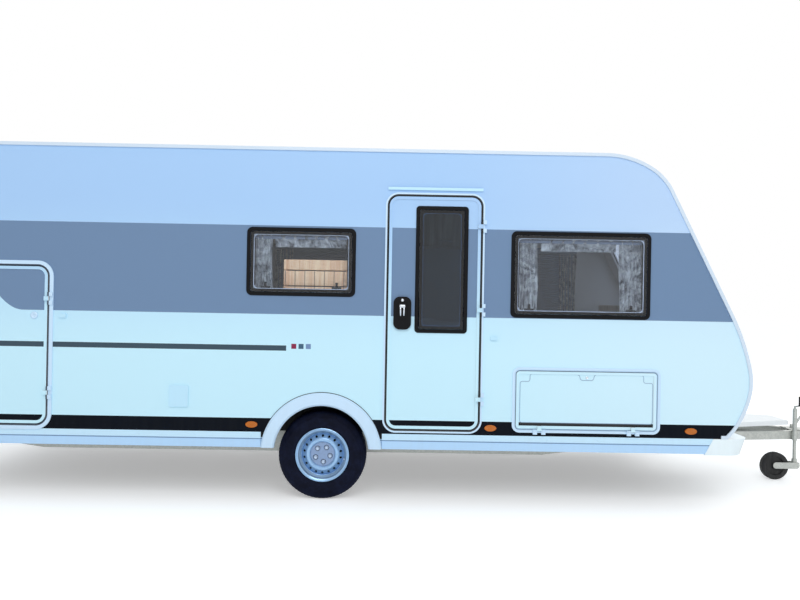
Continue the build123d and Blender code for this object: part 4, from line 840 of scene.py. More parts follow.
# Bolts, and the dark rings in their seats that are painted shade of the recesses, as (radius, out) from the
# bolt circle's plane
BOLTS = 5
BOLT_START = 60
BOLT_RING = 0.056
BOLT_OUT = 0.056
BOLT = [
    (0.0155, -0.012), (0.0155, -0.008), (0.0122, -0.006), (0.0122, 0.004), (0.0105, 0.0062), (0.004, 0.0066),
]
BOLT_SEAT_SHADE = [(0.0150, -0.0140), (0.0195, -0.0140), (0.0190, -0.0126), (0.0155, -0.0126)]
VALVE = [(0.150, -0.030, 0.028), (0.158, -0.032, 0.050), (0.160, -0.032, 0.072)]
for name, side in SIDES.items():
    wheel = side_frame((axle_x, side * HUB_OUT, hub_z), side)
    make_tyre(name, wheel)
    mesh, seat_shades = bmesh.new(), bmesh.new()
    for i in range(BOLTS):
        angle = radians(360 / BOLTS * i + BOLT_START)
        seat = wheel @ Matrix.Translation((cos(angle) * BOLT_RING, sin(angle) * BOLT_RING, BOLT_OUT))
        add_turned(seat_shades, seat, BOLT_SEAT_SHADE, ring=True)
        add_turned(mesh, seat @ Matrix.Rotation(0.3 * i, 4, "Z"), BOLT, 6, foot=False)
    add_tube(mesh, wheel, VALVE, 0.0045, 10)
    piece_from(mesh, f"bolts_and_valve_{name}", bolt_steel, f"wheel_{name}", smooth=False)
    piece_from(seat_shades, f"bolt_seat_shades_{name}", seat_shade, f"wheel_{name}")

# Pressed dust shields on the brake back plates, seen through the wheels' vent holes
SHIELD = [(0.1135, 0.921), (0.1135, 0.9235), (0.158, 0.9240), (0.160, 0.9215), (0.157, 0.919)]
shield_black = plain_finish("shield_black", tone(12, 13, 17), 0.7, 0.1)
for name, side in SIDES.items():
    mesh = bmesh.new()
    add_turned(mesh, side_frame((axle_x, 0, hub_z), side), SHIELD, 64, ring=True)
    piece_from(mesh, f"dust_shield_{name}", shield_black, "caravan")
underbody = plain_finish("underbody_black", tone(20, 21, 25), 0.75, 0.2)
dress(underbody, "wheel_boxes")

# ================================================================ hatch and door furniture
# Seal beads pushed into each frame, the front hatch's stepped inner panel with
# its foot strip and lock barrel, and the entrance door's lever and barrel.
seal_rubber_and_shade = plain_finish("seal_rubber_and_shade", tone(10, 12, 17), 0.6, 0.02)
seal_slate_and_shade = plain_finish("seal_slate_and_shade", SEAL_SLATE_AND_GAP_SHADE, 0.6, 0.02)
seal_soft = plain_finish("seal_soft", tone(184, 212, 238), 0.6, 0.02)
LEAVES = [
    dict(name="door", leaf=DOOR, rubber=seal_rubber_and_shade),
    dict(name="rear_hatch", leaf=REAR_HATCH, rubber=seal_slate_and_shade),
    dict(name="front_hatch", leaf=FRONT_HATCH, rubber=seal_soft),
]
# The beads are rubber in the gap round each leaf; the dark ones are partly a real seal and partly painted
# shade of the gap.
BEAD_OUT = 0.0048
BEAD_IN = 0.005
BEAD_R = 0.0030
for entry in LEAVES:
    left, right, foot, top, radius = entry["leaf"].values()
    bead = rounded_outline(right - left, top - foot, radius, -BEAD_OUT)
    mesh = bmesh.new()
    place = wall_place(-1, (left + right) / 2, (foot + top) / 2)
    add_tube(mesh, place, [(x, z, BEAD_IN) for x, z in bead], BEAD_R, 8, closed=True)
    piece_from(mesh, "seal_bead_" + entry["name"], entry["rubber"])

# Front hatch, seen from outside: (x from the axle, z) round the stepped panel
PANEL_LINE = [
    (1.420, 0.600), (2.376, 0.600), (2.376, 0.895), (2.310, 0.895), (2.310, 0.948), (1.955, 0.948),
    (1.945, 0.908), (1.855, 0.908), (1.845, 0.948), (1.490, 0.948), (1.490, 0.895), (1.420, 0.895),
]


def softened(points, radius, steps=4):
    """Closed line with each corner rounded."""
    line = []
    for i, corner in enumerate(points):
        corner = Vector(corner)
        to_last, to_next = Vector(points[i - 1]) - corner, Vector(points[(i + 1) % len(points)]) - corner
        cut = min(radius, to_last.length / 2.2, to_next.length / 2.2)
        start, end = corner + to_last.normalized() * cut, corner + to_next.normalized() * cut
        for step in range(steps + 1):
            t = step / steps
            line.append(start.lerp(corner, t).lerp(corner.lerp(end, t), t))
    return line


# A thin dark line round the stepped panel is painted shade of its step.
hatch_step_shade = plain_finish("hatch_step_shade", tone(140, 166, 194), 0.4, 0.05)
hatch_face = wall_place(-1, 0, 0)
mesh = bmesh.new()
add_tube(mesh, hatch_face, [(p.x, p.y, -0.0002) for p in softened(PANEL_LINE, 0.016)], 0.0022, 6, closed=True)
piece_from(mesh, "front_hatch_step_shade_line", hatch_step_shade, "front_hatch")
mesh = bmesh.new()
add_block(mesh, hatch_face, (1.420, 0.583, -0.0012), (2.376, 0.600, 0.001), 0.0006)
piece_from(mesh, "front_hatch_foot_strip", seal_rubber_and_shade, "front_hatch")

# Lock barrel and turn catch as (radius, z) points, z inwards from the face
BARREL = [(0.010, 0.001), (0.010, -0.003), (0.0088, -0.0045), (0.0040, -0.0045), (0.0036, -0.0030)]
CATCH = [(0.026, 0.001), (0.026, -0.005), (0.022, -0.008), (0.009, -0.008), (0.008, -0.006)]
chrome = plain_finish("bright_chrome", tone(206, 212, 220), 0.12, 0.02, Metallic=1.0)
mesh = bmesh.new()
add_turned(mesh, wall_place(-1, 1.900, 0.927), BARREL)
piece_from(mesh, "front_hatch_lock", chrome, "front_hatch")
mesh = bmesh.new()
add_turned(mesh, wall_place(-1, -2.060, 1.309), CATCH, 32)
piece_from(mesh, "rear_hatch_catch", trim_white, "rear_hatch")

# Entrance door: lever in the recess of its black plate, with the barrel above
LEVER_AT = (0.5645, 1.412)
BARREL_ABOVE = 0.050
PLATE_OUT = 0.0155
LEVER_ARMS = [
    [(-0.014, 0.008, -0.0175), (-0.013, -0.016, -0.021), (-0.012, -0.062, -0.0215)],
    [(0.012, 0.008, -0.0175), (0.012, -0.016, -0.021), (0.011, -0.062, -0.0215)],
]
mesh = bmesh.new()
lock_face = wall_place(-1, *LEVER_AT)
for arm in LEVER_ARMS:
    add_tube(mesh, lock_face, arm, 0.0062)
add_block(mesh, lock_face, (-0.021, -0.004, -0.024), (0.021, 0.018, -0.012), 0.005)
add_turned(mesh, lock_face @ Matrix.Translation((0, BARREL_ABOVE, -PLATE_OUT)), BARREL)
piece_from(mesh, "door_lever", chrome, "entrance_door")

# ================================================================ chassis, drawbar and jockey wheel
# Hot-dip zinced steel, with a rubber gaiter and wheel and black plastic sleeves on
# the levers. A T bar tightens the jockey clamp. Pan-head screws hold the skirts.
rubber = plain_finish("moulded_rubber", tone(12, 13, 17), 0.7, 0.12)
dress(rubber, "jockey_wheel", "coupling_gaiter")
zinc, tree, shader = finish("hot_dip_zinc", tone(186, 190, 186), 0.42, Metallic=0.75)
spot = place_along(tree).spot
spangle = put(tree, "ShaderNodeTexVoronoi", {"Vector": spot, "Scale": 90.0})
flake = put(tree, "ShaderNodeSeparateColor", {0: spangle.outputs["Color"]}).outputs[0]
share = weigh(tree, (flake, 0.35), (noise_out(tree, spot, 7, 5, 0.6), 0.65))
feed(tree, shader, Base_Color=mix_color(tree, share, tone(150, 154, 152), tone(208, 210, 204)))
feed(tree, shader, Roughness=ramp(tree, share, 0, 1, 0.32, 0.62))
add_relief(tree, shader, 0.2, 0.001, Grain=160, Grain_Depth=0.6, Wander=12, Wander_Depth=0.5)
dress(zinc, "chassis_rails", "cross_members", "drawbar_beams", "axle", "coupling", "handbrake_lever",
      "jockey_post", "jockey_sleeve", "jockey_fork",
      "steady_front_left", "steady_front_right", "steady_rear_left", "steady_rear_right")
cover_grey = plain_finish("cover_grey", tone(240, 244, 246), 0.42, 0.08)
dress(cover_grey, "drawbar_cover")
grip_black = plain_finish("grip_black", tone(12, 13, 17), 0.5, 0.05)

# Bars as two ends, with X from the axle, and a radius
HANDBRAKE_GRIP = ((4.082, 0, 0.5085), (4.250, 0, 0.5475), 0.0145)
COUPLING_GRIP = ((4.262, 0, 0.478), (4.168, 0, 0.4815), 0.0168)
GRIP_SLOPE = 0.232
GRIP_RIBS = dict(count=6, first=4.100, pitch=0.025, width=0.006, rise=0.0014, radius=0.0158)
CLAMP_SCREW = ((3.930, -0.126, 0.374), (3.930, -0.086, 0.374), 0.007)
CLAMP_BAR = ((3.893, -0.084, 0.374), (3.967, -0.084, 0.374), 0.005)
CRANK_KNOB = ((3.954, -0.200, 0.6265), (3.954, -0.200, 0.7065), 0.0145)
ribs = []
for i in range(GRIP_RIBS["count"]):
    x = GRIP_RIBS["first"] + i * GRIP_RIBS["pitch"]
    z = HANDBRAKE_GRIP[0][2] + (x - HANDBRAKE_GRIP[0][0]) * GRIP_SLOPE
    ribs.append(((x, 0, z), (x + GRIP_RIBS["width"], 0, z + GRIP_RIBS["rise"]), GRIP_RIBS["radius"]))
BARS = [
    dict(name="lever_grips", bars=[HANDBRAKE_GRIP, COUPLING_GRIP, *ribs], look=grip_black, slot="trim_dark"),
    dict(name="clamp_handle", bars=[CLAMP_SCREW, CLAMP_BAR], look=bolt_steel, slot="galvanised"),
    dict(name="crank_knob", bars=[CRANK_KNOB], look=grip_black, slot="trim_dark"),
]
for entry in BARS:
    mesh = bmesh.new()
    for start, end, radius in entry["bars"]:
        add_tube(mesh, AT_AXLE, (start, end), radius, 16)
    piece_from(mesh, entry["name"], entry["look"], "caravan")

SCREW = [(0.0052, 0.0004), (0.0052, -0.0008), (0.0036, -0.0021), (0.0012, -0.0022)]
SCREW_PITCH = 0.36
SCREW_Z = 0.478
SCREW_RUNS = [(-2.90, -0.50), (0.52, 2.72)]
mesh = bmesh.new()
for side in SIDES.values():
    for start, end in SCREW_RUNS:
        count = int((end - start) / SCREW_PITCH)
        for i in range(count + 1):
            add_turned(mesh, wall_place(side, start + (end - start) * i / count, SCREW_Z), SCREW, 10)
piece_from(mesh, "trim_screws", skirt_white, "caravan")

# Plastic strips behind the skirts close the joint with the round arch mouldings
STRIP_X = 0.431
STRIP_HALF = 0.017
STRIP_Z = (0.399, 0.528)
STRIP_DEPTH = (0.0130, 0.0180)
mesh = bmesh.new()
for side in SIDES.values():
    for x in (-STRIP_X, STRIP_X):
        low, high = [(x + way * STRIP_HALF, z, y) for way, z, y in zip((-1, 1), STRIP_Z, STRIP_DEPTH)]
        add_block(mesh, wall_place(side, 0, 0), low, high, 0.001)
piece_from(mesh, "skirt_joint_strips", skirt_white, "caravan")

# Rubber welt between each arch moulding and the wall, partly a real welt and partly painted shade of the
# joint
WELT_R = 0.4362
WELT_MIDDLE_Z = 0.355
WELT_FOOT_Z = 0.500
WELT_OUT = 0.001
for name, side in SIDES.items():
    angles = [radians(a) for a in range(0, 181, 3)]
    line = [(WELT_R * cos(a), WELT_MIDDLE_Z + WELT_R * sin(a), -WELT_OUT) for a in angles]
    mesh = bmesh.new()
    add_tube(mesh, wall_place(side, 0, 0), [p for p in line if p[1] > WELT_FOOT_Z], 0.0022, 8)
    piece_from(mesh, f"arch_welt_and_shade_{name}", seal_rubber_and_shade, "caravan")

# ================================================================ lamps and reflectors
# Moulded lenses with prisms inside: oval amber side markers, and rear clusters
# divided into indicator, tail and fog chambers, beside two triangular reflectors.


def lens_finish(name, color, pitch, depth):
    """Ribbed clear lens over a coloured body: the material, its tree and shader, and its prisms."""
    material, tree, shader = finish(name, color, 0.12, Coat_Weight=0.12, Specular_IOR_Level=0.3)
    x, y, z = put(tree, "ShaderNodeSeparateXYZ", {0: place_along(tree).spot}).outputs
    ribs = [math_out(tree, "SINE", times(tree, part, tau / pitch)) for part in (plus(tree, x, y), z)]
    prisms = times(tree, *ribs)
    add_bump(tree, shader, prisms, 0.7, depth)
    return material, tree, shader, prisms


def glinting_lens(name, pitch, depth, color, dark, pale):
    """Lens of one colour, painted darker and paler in the pattern of its prisms as painted shade and painted
    glints.
    """
    material, tree, shader, prisms = lens_finish(name, color, pitch, depth)
    feed(tree, shader, Base_Color=mix_color(tree, ramp(tree, prisms, -1, 1), dark, pale))
    return material


# Each lens colour, then its painted shade and its painted glint.
AMBERS = tone(196, 104, 12), tone(176, 84, 4), tone(216, 124, 22)
REDS = tone(178, 14, 18), tone(140, 8, 12), tone(206, 28, 30)
amber_lens = glinting_lens("amber_lens", 0.012, 0.002, *AMBERS)
red_reflex = glinting_lens("red_reflex", 0.005, 0.001, *REDS)
dress(amber_lens, "side_markers")
# Joints between the chambers, measured from the middle of the tail
INDICATOR_Y = 1.040
FOG_Y = 0.945
JOINT_HALF = 0.002
rear_lens, tree, shader, _ = lens_finish("rear_lens", tone(170, 24, 26), 0.010, 0.002)
across = math_out(tree, "ABSOLUTE", place_along(tree).y)
indicator = math_out(tree, "GREATER_THAN", across, INDICATOR_Y)
fog = math_out(tree, "LESS_THAN", across, FOG_Y)
paint = mix_color(tree, indicator, tone(168, 16, 20), tone(224, 116, 24))
paint = mix_color(tree, fog, paint, tone(206, 206, 210))
joints = [inside_range(tree, across, y - JOINT_HALF, y + JOINT_HALF) for y in (INDICATOR_Y, FOG_Y)]
feed(tree, shader, Base_Color=mix_color(tree, math_out(tree, "MAXIMUM", *joints), paint, tone(40, 8, 10)))
dress(rear_lens, "tail_lamps")

TAIL_FACE = -2.990
LAMP_Y = 1.000
BEZEL_HALF = 0.118
BEZEL_Z = (0.100, -0.042)
BEZEL_H = 0.008
BEZEL_OUT = 0.0035
tail_frame = outer_frame((TAIL_FACE, 0, 0.5), (0, 1, 0), (0, 0, 1), (1, 0, 0))
mesh = bmesh.new()
for y in (-LAMP_Y, LAMP_Y):
    for z in BEZEL_Z:
        low, high = (y - BEZEL_HALF, z, -BEZEL_OUT), (y + BEZEL_HALF, z + BEZEL_H, 0.001)
        add_block(mesh, tail_frame, low, high, 0.0015)
piece_from(mesh, "lamp_bezels", surround_black, "caravan")

TRIANGLE = [(-0.075, -0.050), (0.075, -0.050), (0.0, 0.080)]
TRIANGLE_LAYERS = [(1.0, 0.0), (1.0, -0.0028), (0.92, -0.0038)]
REFLECTOR_AT = (0.760, 0.020)
mesh = bmesh.new()
for side in SIDES.values():
    rings = []
    for scale, depth in TRIANGLE_LAYERS:
        line = softened([(x * scale, z * scale) for x, z in TRIANGLE], 0.012)
        points = [(side * REFLECTOR_AT[0] + p.x, REFLECTOR_AT[1] + p.y, depth) for p in line]
        rings.append([mesh.verts.new(tail_frame @ Vector(point)) for point in points])
    skin_rings(mesh, rings)
    mesh.faces.new(rings[-1])
piece_from(mesh, "rear_reflectors", red_reflex, "caravan", smooth=False)
plate_white = plain_finish("plate_white", tone(226, 228, 226), 0.3, 0.1)
mesh = bmesh.new()
add_block(mesh, tail_frame, (-0.260, -0.055, -0.0030), (0.260, 0.055, 0.0), 0.0012)
piece_from(mesh, "blank_plate", plate_white, "caravan")

# ================================================================ cabin joinery and floor
# Light foiled ply with a fine grain, darker edging and flush doors with bow
# handles; the floor is printed vinyl above and black sealed board below.
OAK_PALE, OAK_DARK = tone(214, 196, 170), tone(178, 150, 120)
wood_grain, given, result = new_group(
    "wood_grain",
    [("Pale", COLOR, tone(226, 206, 178)), ("Dark", COLOR, tone(176, 142, 108)), ("Across", FLOAT, 26.0)],
    [("Color", COLOR), ("Figure", FLOAT)],
)
spot = place_along(wood_grain).spot
drawn_up = put(wood_grain, "ShaderNodeMapping", {0: spot, "Scale": (1, 1, 0.09)}).outputs[0]
figure = ramp(wood_grain, noise_out(wood_grain, drawn_up, given.outputs["Across"], 7, 0.6, 0.4), 0.34, 0.68)
grained = mix_color(wood_grain, figure, given.outputs["Pale"], given.outputs["Dark"])
feed(wood_grain, result, Color=grained, Figure=figure)


def wooden(name, pale, dark, across=26.0, roughness=0.42):
    """Foiled or planed wood with its own two tones."""
    material, tree, shader = finish(name, pale, roughness)
    grain = use_group(tree, wood_grain, Pale=pale, Dark=dark, Across=across)
    feed(tree, shader, Base_Color=grain.outputs["Color"])
    add_bump(tree, shader, grain.outputs["Figure"], 0.15, 0.001)
    return material


foiled_oak = wooden("foiled_oak", OAK_PALE, OAK_DARK)
edging = wooden("edging", tone(124, 104, 88), tone(92, 74, 62))
planed_pine = wooden("planed_pine", tone(255, 216, 166), tone(232, 168, 118), 34.0, 0.6)
dress(foiled_oak, "bed_base", "bunk_boards", "dinette_joinery", "roof_lockers", "washroom_walls")

# Kitchen: oak carcass under a speckled worktop
WORKTOP_UNDER_Z = 1.339
worktop_mix, tree, shader = finish("worktop_mix", tone(96, 92, 88), 0.3)
grain = use_group(tree, wood_grain, Pale=OAK_PALE, Dark=OAK_DARK)
at = place_along(tree)
fleck = ramp(tree, noise_out(tree, at.spot, 160, 3), 0.4, 0.62)
stone = mix_color(tree, fleck, tone(74, 74, 76), tone(134, 132, 128))
top = math_out(tree, "GREATER_THAN", at.z, WORKTOP_UNDER_Z)
feed(tree, shader, Base_Color=mix_color(tree, top, grain.outputs["Color"], stone))
add_relief(tree, shader, 0.1, 0.001, Grain=400, Grain_Depth=0.4, Wander=8, Wander_Depth=0.3)
dress(worktop_mix, "kitchen_unit")

PLANKS_PER_METRE = 8
PLANK_JOINT = 0.02
BOARD_TOP_Z = 0.5
vinyl_floor, tree, shader = finish("vinyl_floor", tone(150, 132, 112), 0.4)
at = place_along(tree)
lengthways = put(tree, "ShaderNodeMapping", {0: at.spot, "Scale": (0.1, 1, 1)}).outputs[0]
run = times(tree, at.y, PLANKS_PER_METRE)
plank = put(tree, "ShaderNodeTexWhiteNoise", {"W": math_out(tree, "FLOOR", run)}, noise_dimensions="1D")
tint = weigh(tree, (plank.outputs["Value"], 0.4), (noise_out(tree, lengthways, 30, 6, 0.6), 0.7))
wood = mix_color(tree, tint, tone(168, 146, 122), tone(112, 90, 70))
joint = math_out(tree, "LESS_THAN", math_out(tree, "FRACT", run), PLANK_JOINT)
wood = mix_color(tree, joint, wood, tone(66, 52, 42))
above = math_out(tree, "GREATER_THAN", at.z, BOARD_TOP_Z)
feed(tree, shader, Base_Color=mix_color(tree, above, tone(18, 19, 22), wood))
feed(tree, shader, Roughness=ramp(tree, above, 0, 1, 0.8, 0.38))
add_relief(tree, shader, 0.15, 0.001, Grain=260, Grain_Depth=0.5, Wander=10, Wander_Depth=0.3)
dress(vinyl_floor, "floor_panel")

# Rows of fronts: first x from the axle, width, pitch and count; z of foot and top; carcass face and way
# out of it, as y; height of the grip
FRONTS = [
    ("kitchen", -0.752, 0.356, 0.362, 3, (0.540, 1.080), -0.566, 1, 1.020),
    ("kitchen", -0.752, 0.356, 0.362, 3, (1.088, 1.330), -0.566, 1, 1.270),
    ("locker", -0.690, 0.476, 0.484, 4, (2.002, 2.328), 0.796, -1, 2.042),
    ("bench", -0.680, 0.420, 0.760, 2, (0.540, 0.835), 0.086, -1, 0.775),
    ("washroom", -1.620, 0.570, 0.0, 1, (0.530, 2.300), 0.180, -1, 1.350),
    ("washroom", -0.990, 0.200, 0.0, 1, (0.530, 2.300), 0.180, -1, 1.350),
]
FRONT_T = 0.012
EDGE_STRIP = dict(inset=0.030, width=0.006, height=0.002)
BOW = [(-0.055, 0.0), (-0.050, 0.018), (0.050, 0.018), (0.055, 0.0)]


def add_front(mesh, x, z, near, far, edge):
    """Flat block on a carcass face; near and far may come in either order."""
    low, high = sorted((near, far))
    add_block(mesh, AT_AXLE, (x[0], low, z[0]), (x[1], high, z[1]), edge)


for group in ("kitchen", "locker", "bench", "washroom"):
    mesh, handles = bmesh.new(), bmesh.new()
    for row in FRONTS:
        if row[0] != group:
            continue
        first, width, pitch, count, (foot, top), carcass, out, grip = row[1:]
        face = carcass + out * FRONT_T
        inset, strip = EDGE_STRIP["inset"], EDGE_STRIP["width"]
        for i in range(count):
            x0, x1 = first + i * pitch, first + i * pitch + width
            add_front(mesh, (x0, x1), (foot, top), carcass, face, 0.003)
            for z in (foot + inset, top - inset - strip):
                raised = face + out * EDGE_STRIP["height"]
                add_front(mesh, (x0 + inset, x1 - inset), (z, z + strip), face, raised, 0.0008)
            bow = [((x0 + x1) / 2 + along, face + out * rise, grip) for along, rise in BOW]
            add_tube(handles, AT_AXLE, bow, 0.0042, 10)
    piece_from(mesh, f"{group}_fronts", foiled_oak, "caravan")
    piece_from(handles, f"{group}_handles", chrome, "caravan")


def on_worktop(x, y, z):
    """Frame on the worktop, with X from the axle."""
    return AT_AXLE @ Matrix.Translation((x, y, z))


# Sink rim, tap and hob, turned profiles as (radius, z)
TOP_Z = 1.370
SINK = [(0.168, -0.0246), (0.168, -0.001), (0.178, 0.002), (0.164, 0.003), (0.160, -0.001), (0.155, -0.0236)]
TAP_FOOT = [(0.020, 0.0), (0.020, 0.012), (0.012, 0.020)]
TAP = [
    (0.150, -0.940, 1.385), (0.150, -0.940, 1.500), (0.135, -0.935, 1.540), (0.100, -0.925, 1.552),
    (0.050, -0.905, 1.530),
]
BURNER = [(0.048, 0.0), (0.048, 0.008), (0.030, 0.010), (0.030, 0.016), (0.026, 0.018)]
HOB = ((-0.720, -1.080, TOP_Z + 0.0002), (-0.330, -0.640, 1.378))
mesh = bmesh.new()
add_turned(mesh, on_worktop(-0.030, -0.846, TOP_Z), SINK, 48)
add_turned(mesh, on_worktop(*TAP[0][:2], TOP_Z), TAP_FOOT, 20)
add_tube(mesh, AT_AXLE, TAP, 0.009)
piece_from(mesh, "sink_and_tap", chrome, "caravan")
mesh = bmesh.new()
add_block(mesh, AT_AXLE, *HOB, 0.003)
for x, y in ((-0.62, -0.98), (-0.43, -0.98), (-0.525, -0.76)):
    add_turned(mesh, on_worktop(x, y, HOB[1][2]), BURNER, 28)
piece_from(mesh, "hob", grip_black, "caravan")

# Open pine crate of three boards a side that stands on the worktop behind its window
CRATE = dict(x=(-0.300, 0.168), y=(-1.078, -0.960), foot=1.3715)
BOARDS = [(0.000, 0.176), (0.184, 0.290), (0.298, 0.372)]
BOARD_T = 0.012
END_T = 0.018
END_H = 0.370
BATTENS = dict(count=7, first=0.010, pitch=0.0708, width=0.004, z=(0.004, 0.290), out=(0.0035, 0.0003))
crate = on_worktop(CRATE["x"][0], CRATE["y"][0], CRATE["foot"])
length, depth = CRATE["x"][1] - CRATE["x"][0], CRATE["y"][1] - CRATE["y"][0]
mesh = bmesh.new()
for y in (0, depth - BOARD_T):
    for low, high in BOARDS:
        add_block(mesh, crate, (0, y, low), (length, y + BOARD_T, high))
for x in (0.001, length - END_T - 0.001):
    add_block(mesh, crate, (x, BOARD_T + 0.0005, 0), (x + END_T, depth - BOARD_T - 0.0005, END_H))
piece_from(mesh, "worktop_crate", planed_pine, "caravan")
mesh = bmesh.new()
for i in range(BATTENS["count"]):
    x = BATTENS["first"] + i * BATTENS["pitch"]
    far, near = BATTENS["out"]
    low, high = BATTENS["z"]
    add_block(mesh, crate, (x, -far, low), (x + BATTENS["width"], -near, high), 0.001)
piece_from(mesh, "crate_battens", edging, "caravan")

# ================================================================ mattresses and seat cushions
# Foam pads in sewn covers: woven grey upholstery on the dinette, quilted
# ticking on the beds, with piping sewn into the upper and lower edges.
weave, given, result = new_group(
    "weave",
    [("Warp", COLOR, tone(150, 150, 150)), ("Weft", COLOR, tone(110, 112, 116)), ("Threads", FLOAT, 1400.0)],
    [("Color", COLOR), ("Height", FLOAT)],
)
spot = place_along(weave).spot
x, y, z = put(weave, "ShaderNodeSeparateXYZ", {0: spot}).outputs
yarns = [times(weave, part, given.outputs["Threads"]) for part in (x, plus(weave, y, z))]
over = ramp(weave, times(weave, *[math_out(weave, "SINE", yarn) for yarn in yarns]), -0.6, 0.6)
shade = weigh(weave, (over, 0.6), (noise_out(weave, spot, 60, 4), 0.4))
feed(weave, result, Color=mix_color(weave, shade, given.outputs["Weft"], given.outputs["Warp"]), Height=shade)


def woven(name, warp, weft, threads):
    """Upholstery cloth with its own two yarns."""
    material, tree, shader = finish(name, warp, 0.85, Sheen_Weight=0.25)
    cloth = use_group(tree, weave, Warp=warp, Weft=weft, Threads=threads)
    feed(tree, shader, Base_Color=cloth.outputs["Color"])
    add_bump(tree, shader, cloth.outputs["Height"], 0.35, 0.0008)
    return material


seat_cloth = woven("seat_cloth", tone(150, 148, 146), tone(108, 108, 112), 1500.0)
ticking = woven("ticking", tone(224, 224, 220), tone(196, 200, 206), 2400.0)
piping_cord = woven("piping_cord", tone(74, 74, 78), tone(52, 52, 56), 2400.0)
EDGE_R = 0.022
TUFT_SINK = 0.010
PIPING = dict(inset=0.0055, radius=0.0045, from_face=0.012)
PRESSURE_FRAMES = 20


def pad_blank(low, high, step):
    """Closed box of square cells with rounded edges: points, faces, points by cell, and cells each way."""
    counts = [max(2, round((b - a) / step)) for a, b in zip(low, high)]
    points, faces, index = [], [], {}

    def corner(cell):
        """Point at a cell corner, made once."""
        if cell not in index:
            spot = Vector([a + (b - a) * c / n for a, b, c, n in zip(low, high, cell, counts)])
            core = Vector([min(max(v, a + EDGE_R), b - EDGE_R) for v, a, b in zip(spot, low, high)])
            away = spot - core
            points.append(core + away.normalized() * min(away.length, EDGE_R) if away.length else spot)
            index[cell] = len(points) - 1
        return index[cell]

    for axis in range(3):
        u, v = [k for k in range(3) if k != axis]
        for end in (0, counts[axis]):
            for i in range(counts[u]):
                for j in range(counts[v]):
                    face = []
                    for di, dj in ((0, 0), (1, 0), (1, 1), (0, 1)):
                        cell = [0, 0, 0]
                        cell[axis], cell[u], cell[v] = end, i + di, j + dj
                        face.append(corner(tuple(cell)))
                    faces.append(face)
    return points, faces, index, counts


def inflate(piece, pinned, cap):
    """Swells a sewn cover with the air pressure of its filling; pinned points are its seams."""
    scene, mesh = bpy.context.scene, piece.data
    before = [v.co.copy() for v in mesh.vertices]
    piece.vertex_groups.new(name="seams").add(pinned, 1.0, "REPLACE")
    filling = piece.modifiers.new("filling", "CLOTH")
    filling.settings.use_pressure = True
    filling.settings.uniform_pressure_force = 4
    filling.settings.vertex_group_mass = "seams"
    filling.settings.shrink_min = -0.02
    filling.settings.effector_weights.gravity = 0
    filling.point_cache.frame_end = PRESSURE_FRAMES
    for moment in range(1, PRESSURE_FRAMES + 1):
        scene.frame_set(moment)
    shaped = piece.evaluated_get(bpy.context.evaluated_depsgraph_get()).data
    after = [v.co.copy() for v in shaped.vertices]
    piece.modifiers.remove(filling)
    piece.vertex_groups.clear()
    scene.frame_set(1)
    for vertex, old, new in zip(mesh.vertices, before, after):
        moved = new - old
        vertex.co = old + moved * min(1.0, cap / max(moved.length, 1e-6))


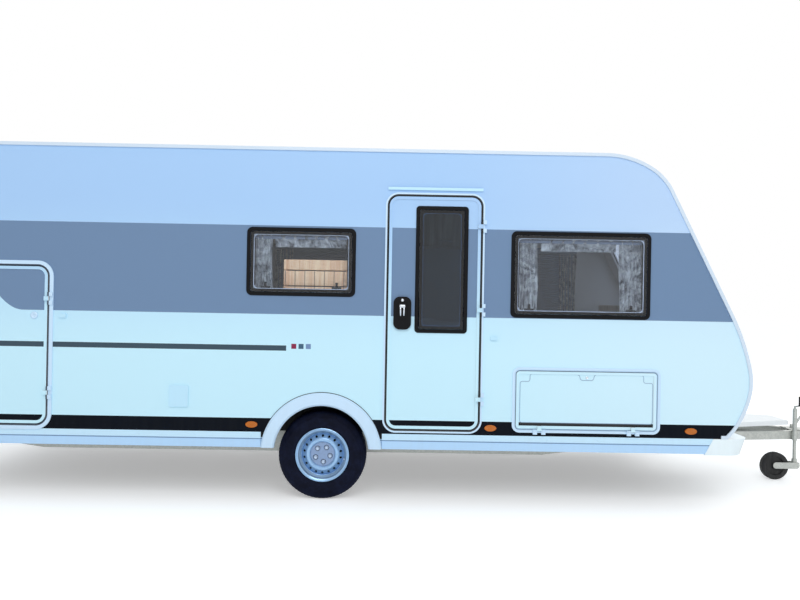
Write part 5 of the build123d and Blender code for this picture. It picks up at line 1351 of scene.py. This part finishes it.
def sewn_pad(name, low, high, node, cloth, step, tufts, fill, cap):
    """Cushion in the space of a CAD pad: cover, tufts along both ways, and piping."""
    low, high = [Vector((axle_x + x, y, z)) for x, y, z in (low, high)]
    points, faces, index, counts = pad_blank(low, high, step)
    pinned = set()
    every = [max(1, round(tufts / ((b - a) / n))) for a, b, n in zip(low, high, counts)]
    for (i, j, k), at in index.items():
        on_face = k in (0, counts[2])
        tuft = on_face and i % every[0] == 0 and j % every[1] == 0
        if tuft:
            points[at].z += TUFT_SINK if k == 0 else -TUFT_SINK
        if tuft or k == 0 or on_face and (i in (0, counts[0]) or j in (0, counts[1])):
            pinned.add(at)
    cover = mesh_piece(name, points, faces, cloth)
    outwards = bmesh.new()
    outwards.from_mesh(cover.data)
    bmesh.ops.recalc_face_normals(outwards, faces=outwards.faces)
    outwards.to_mesh(cover.data)
    outwards.free()
    inflate(cover, sorted(pinned), cap)
    smooth = cover.modifiers.new("smooth", "SUBSURF")
    smooth.levels = smooth.render_levels = 1
    shaped = bpy.data.meshes.new_from_object(cover.evaluated_get(bpy.context.evaluated_depsgraph_get()))
    cover.modifiers.remove(smooth)
    cover.data = shaped
    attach(cover, "caravan")
    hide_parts(node)
    middle, size = (low + high) / 2, high - low
    mesh = bmesh.new()
    for level in (low.z + PIPING["from_face"], high.z - PIPING["from_face"]):
        line = rounded_outline(size.x, size.y, EDGE_R, PIPING["inset"])
        place = Matrix.Translation((middle.x, middle.y, level))
        add_tube(mesh, place, [(x, y, 0) for x, y in line], PIPING["radius"], 8, closed=True)
    piece_from(mesh, name + "_piping", piping_cord, "caravan")


# Pads by two corners, with X from the axle; the two seats and the two bunks are alike
SEAT = dict(node="dinette_cushions", cloth=seat_cloth, step=0.022, tufts=0.34, fill=0.7, cap=0.016)
BED = dict(node="bed_mattress", cloth=ticking, step=0.032, tufts=0.24, fill=0.75, cap=0.014)
BUNK = dict(node="bunk_mattresses", cloth=ticking, step=0.030, tufts=0.22, fill=0.7, cap=0.012)
sewn_pad("rear_seat", (-0.685, 0.101, 0.8605), (-0.255, 1.111, 0.970), **SEAT)
sewn_pad("front_seat", (0.075, 0.101, 0.8605), (0.505, 1.111, 0.970), **SEAT)
sewn_pad("double_mattress", (1.325, -1.104, 1.0305), (2.562, 1.104, 1.142), **BED)
sewn_pad("lower_mattress", (-2.898, -1.068, 0.9785), (-2.174, 1.108, 1.072), **BUNK)
sewn_pad("upper_mattress", (-2.898, -1.068, 1.7785), (-2.174, 1.108, 1.872), **BUNK)

# ================================================================ gas bottles
# Welded steel bottles in grey enamel, scuffed round the shoulder and foot ring,
# with a brass valve, standing in the nose locker.
ENAMEL = tone(128, 134, 140)
VALVE_Z = 1.058
bottle_enamel, tree, shader = finish("bottle_enamel", ENAMEL, 0.42)
at = place_along(tree)
scuffs = ramp(tree, noise_out(tree, at.spot, 28, 7, 0.72), 0.56, 0.7)
paint = mix_color(tree, scuffs, ENAMEL, tone(92, 74, 62))
brass = math_out(tree, "GREATER_THAN", at.z, VALVE_Z)
feed(tree, shader, Base_Color=mix_color(tree, brass, paint, tone(190, 156, 92)), Metallic=brass)
add_relief(tree, shader, 0.2, 0.001, Grain=300, Grain_Depth=0.4, Wander=14, Wander_Depth=0.5)
dress(bottle_enamel, "gas_bottles")
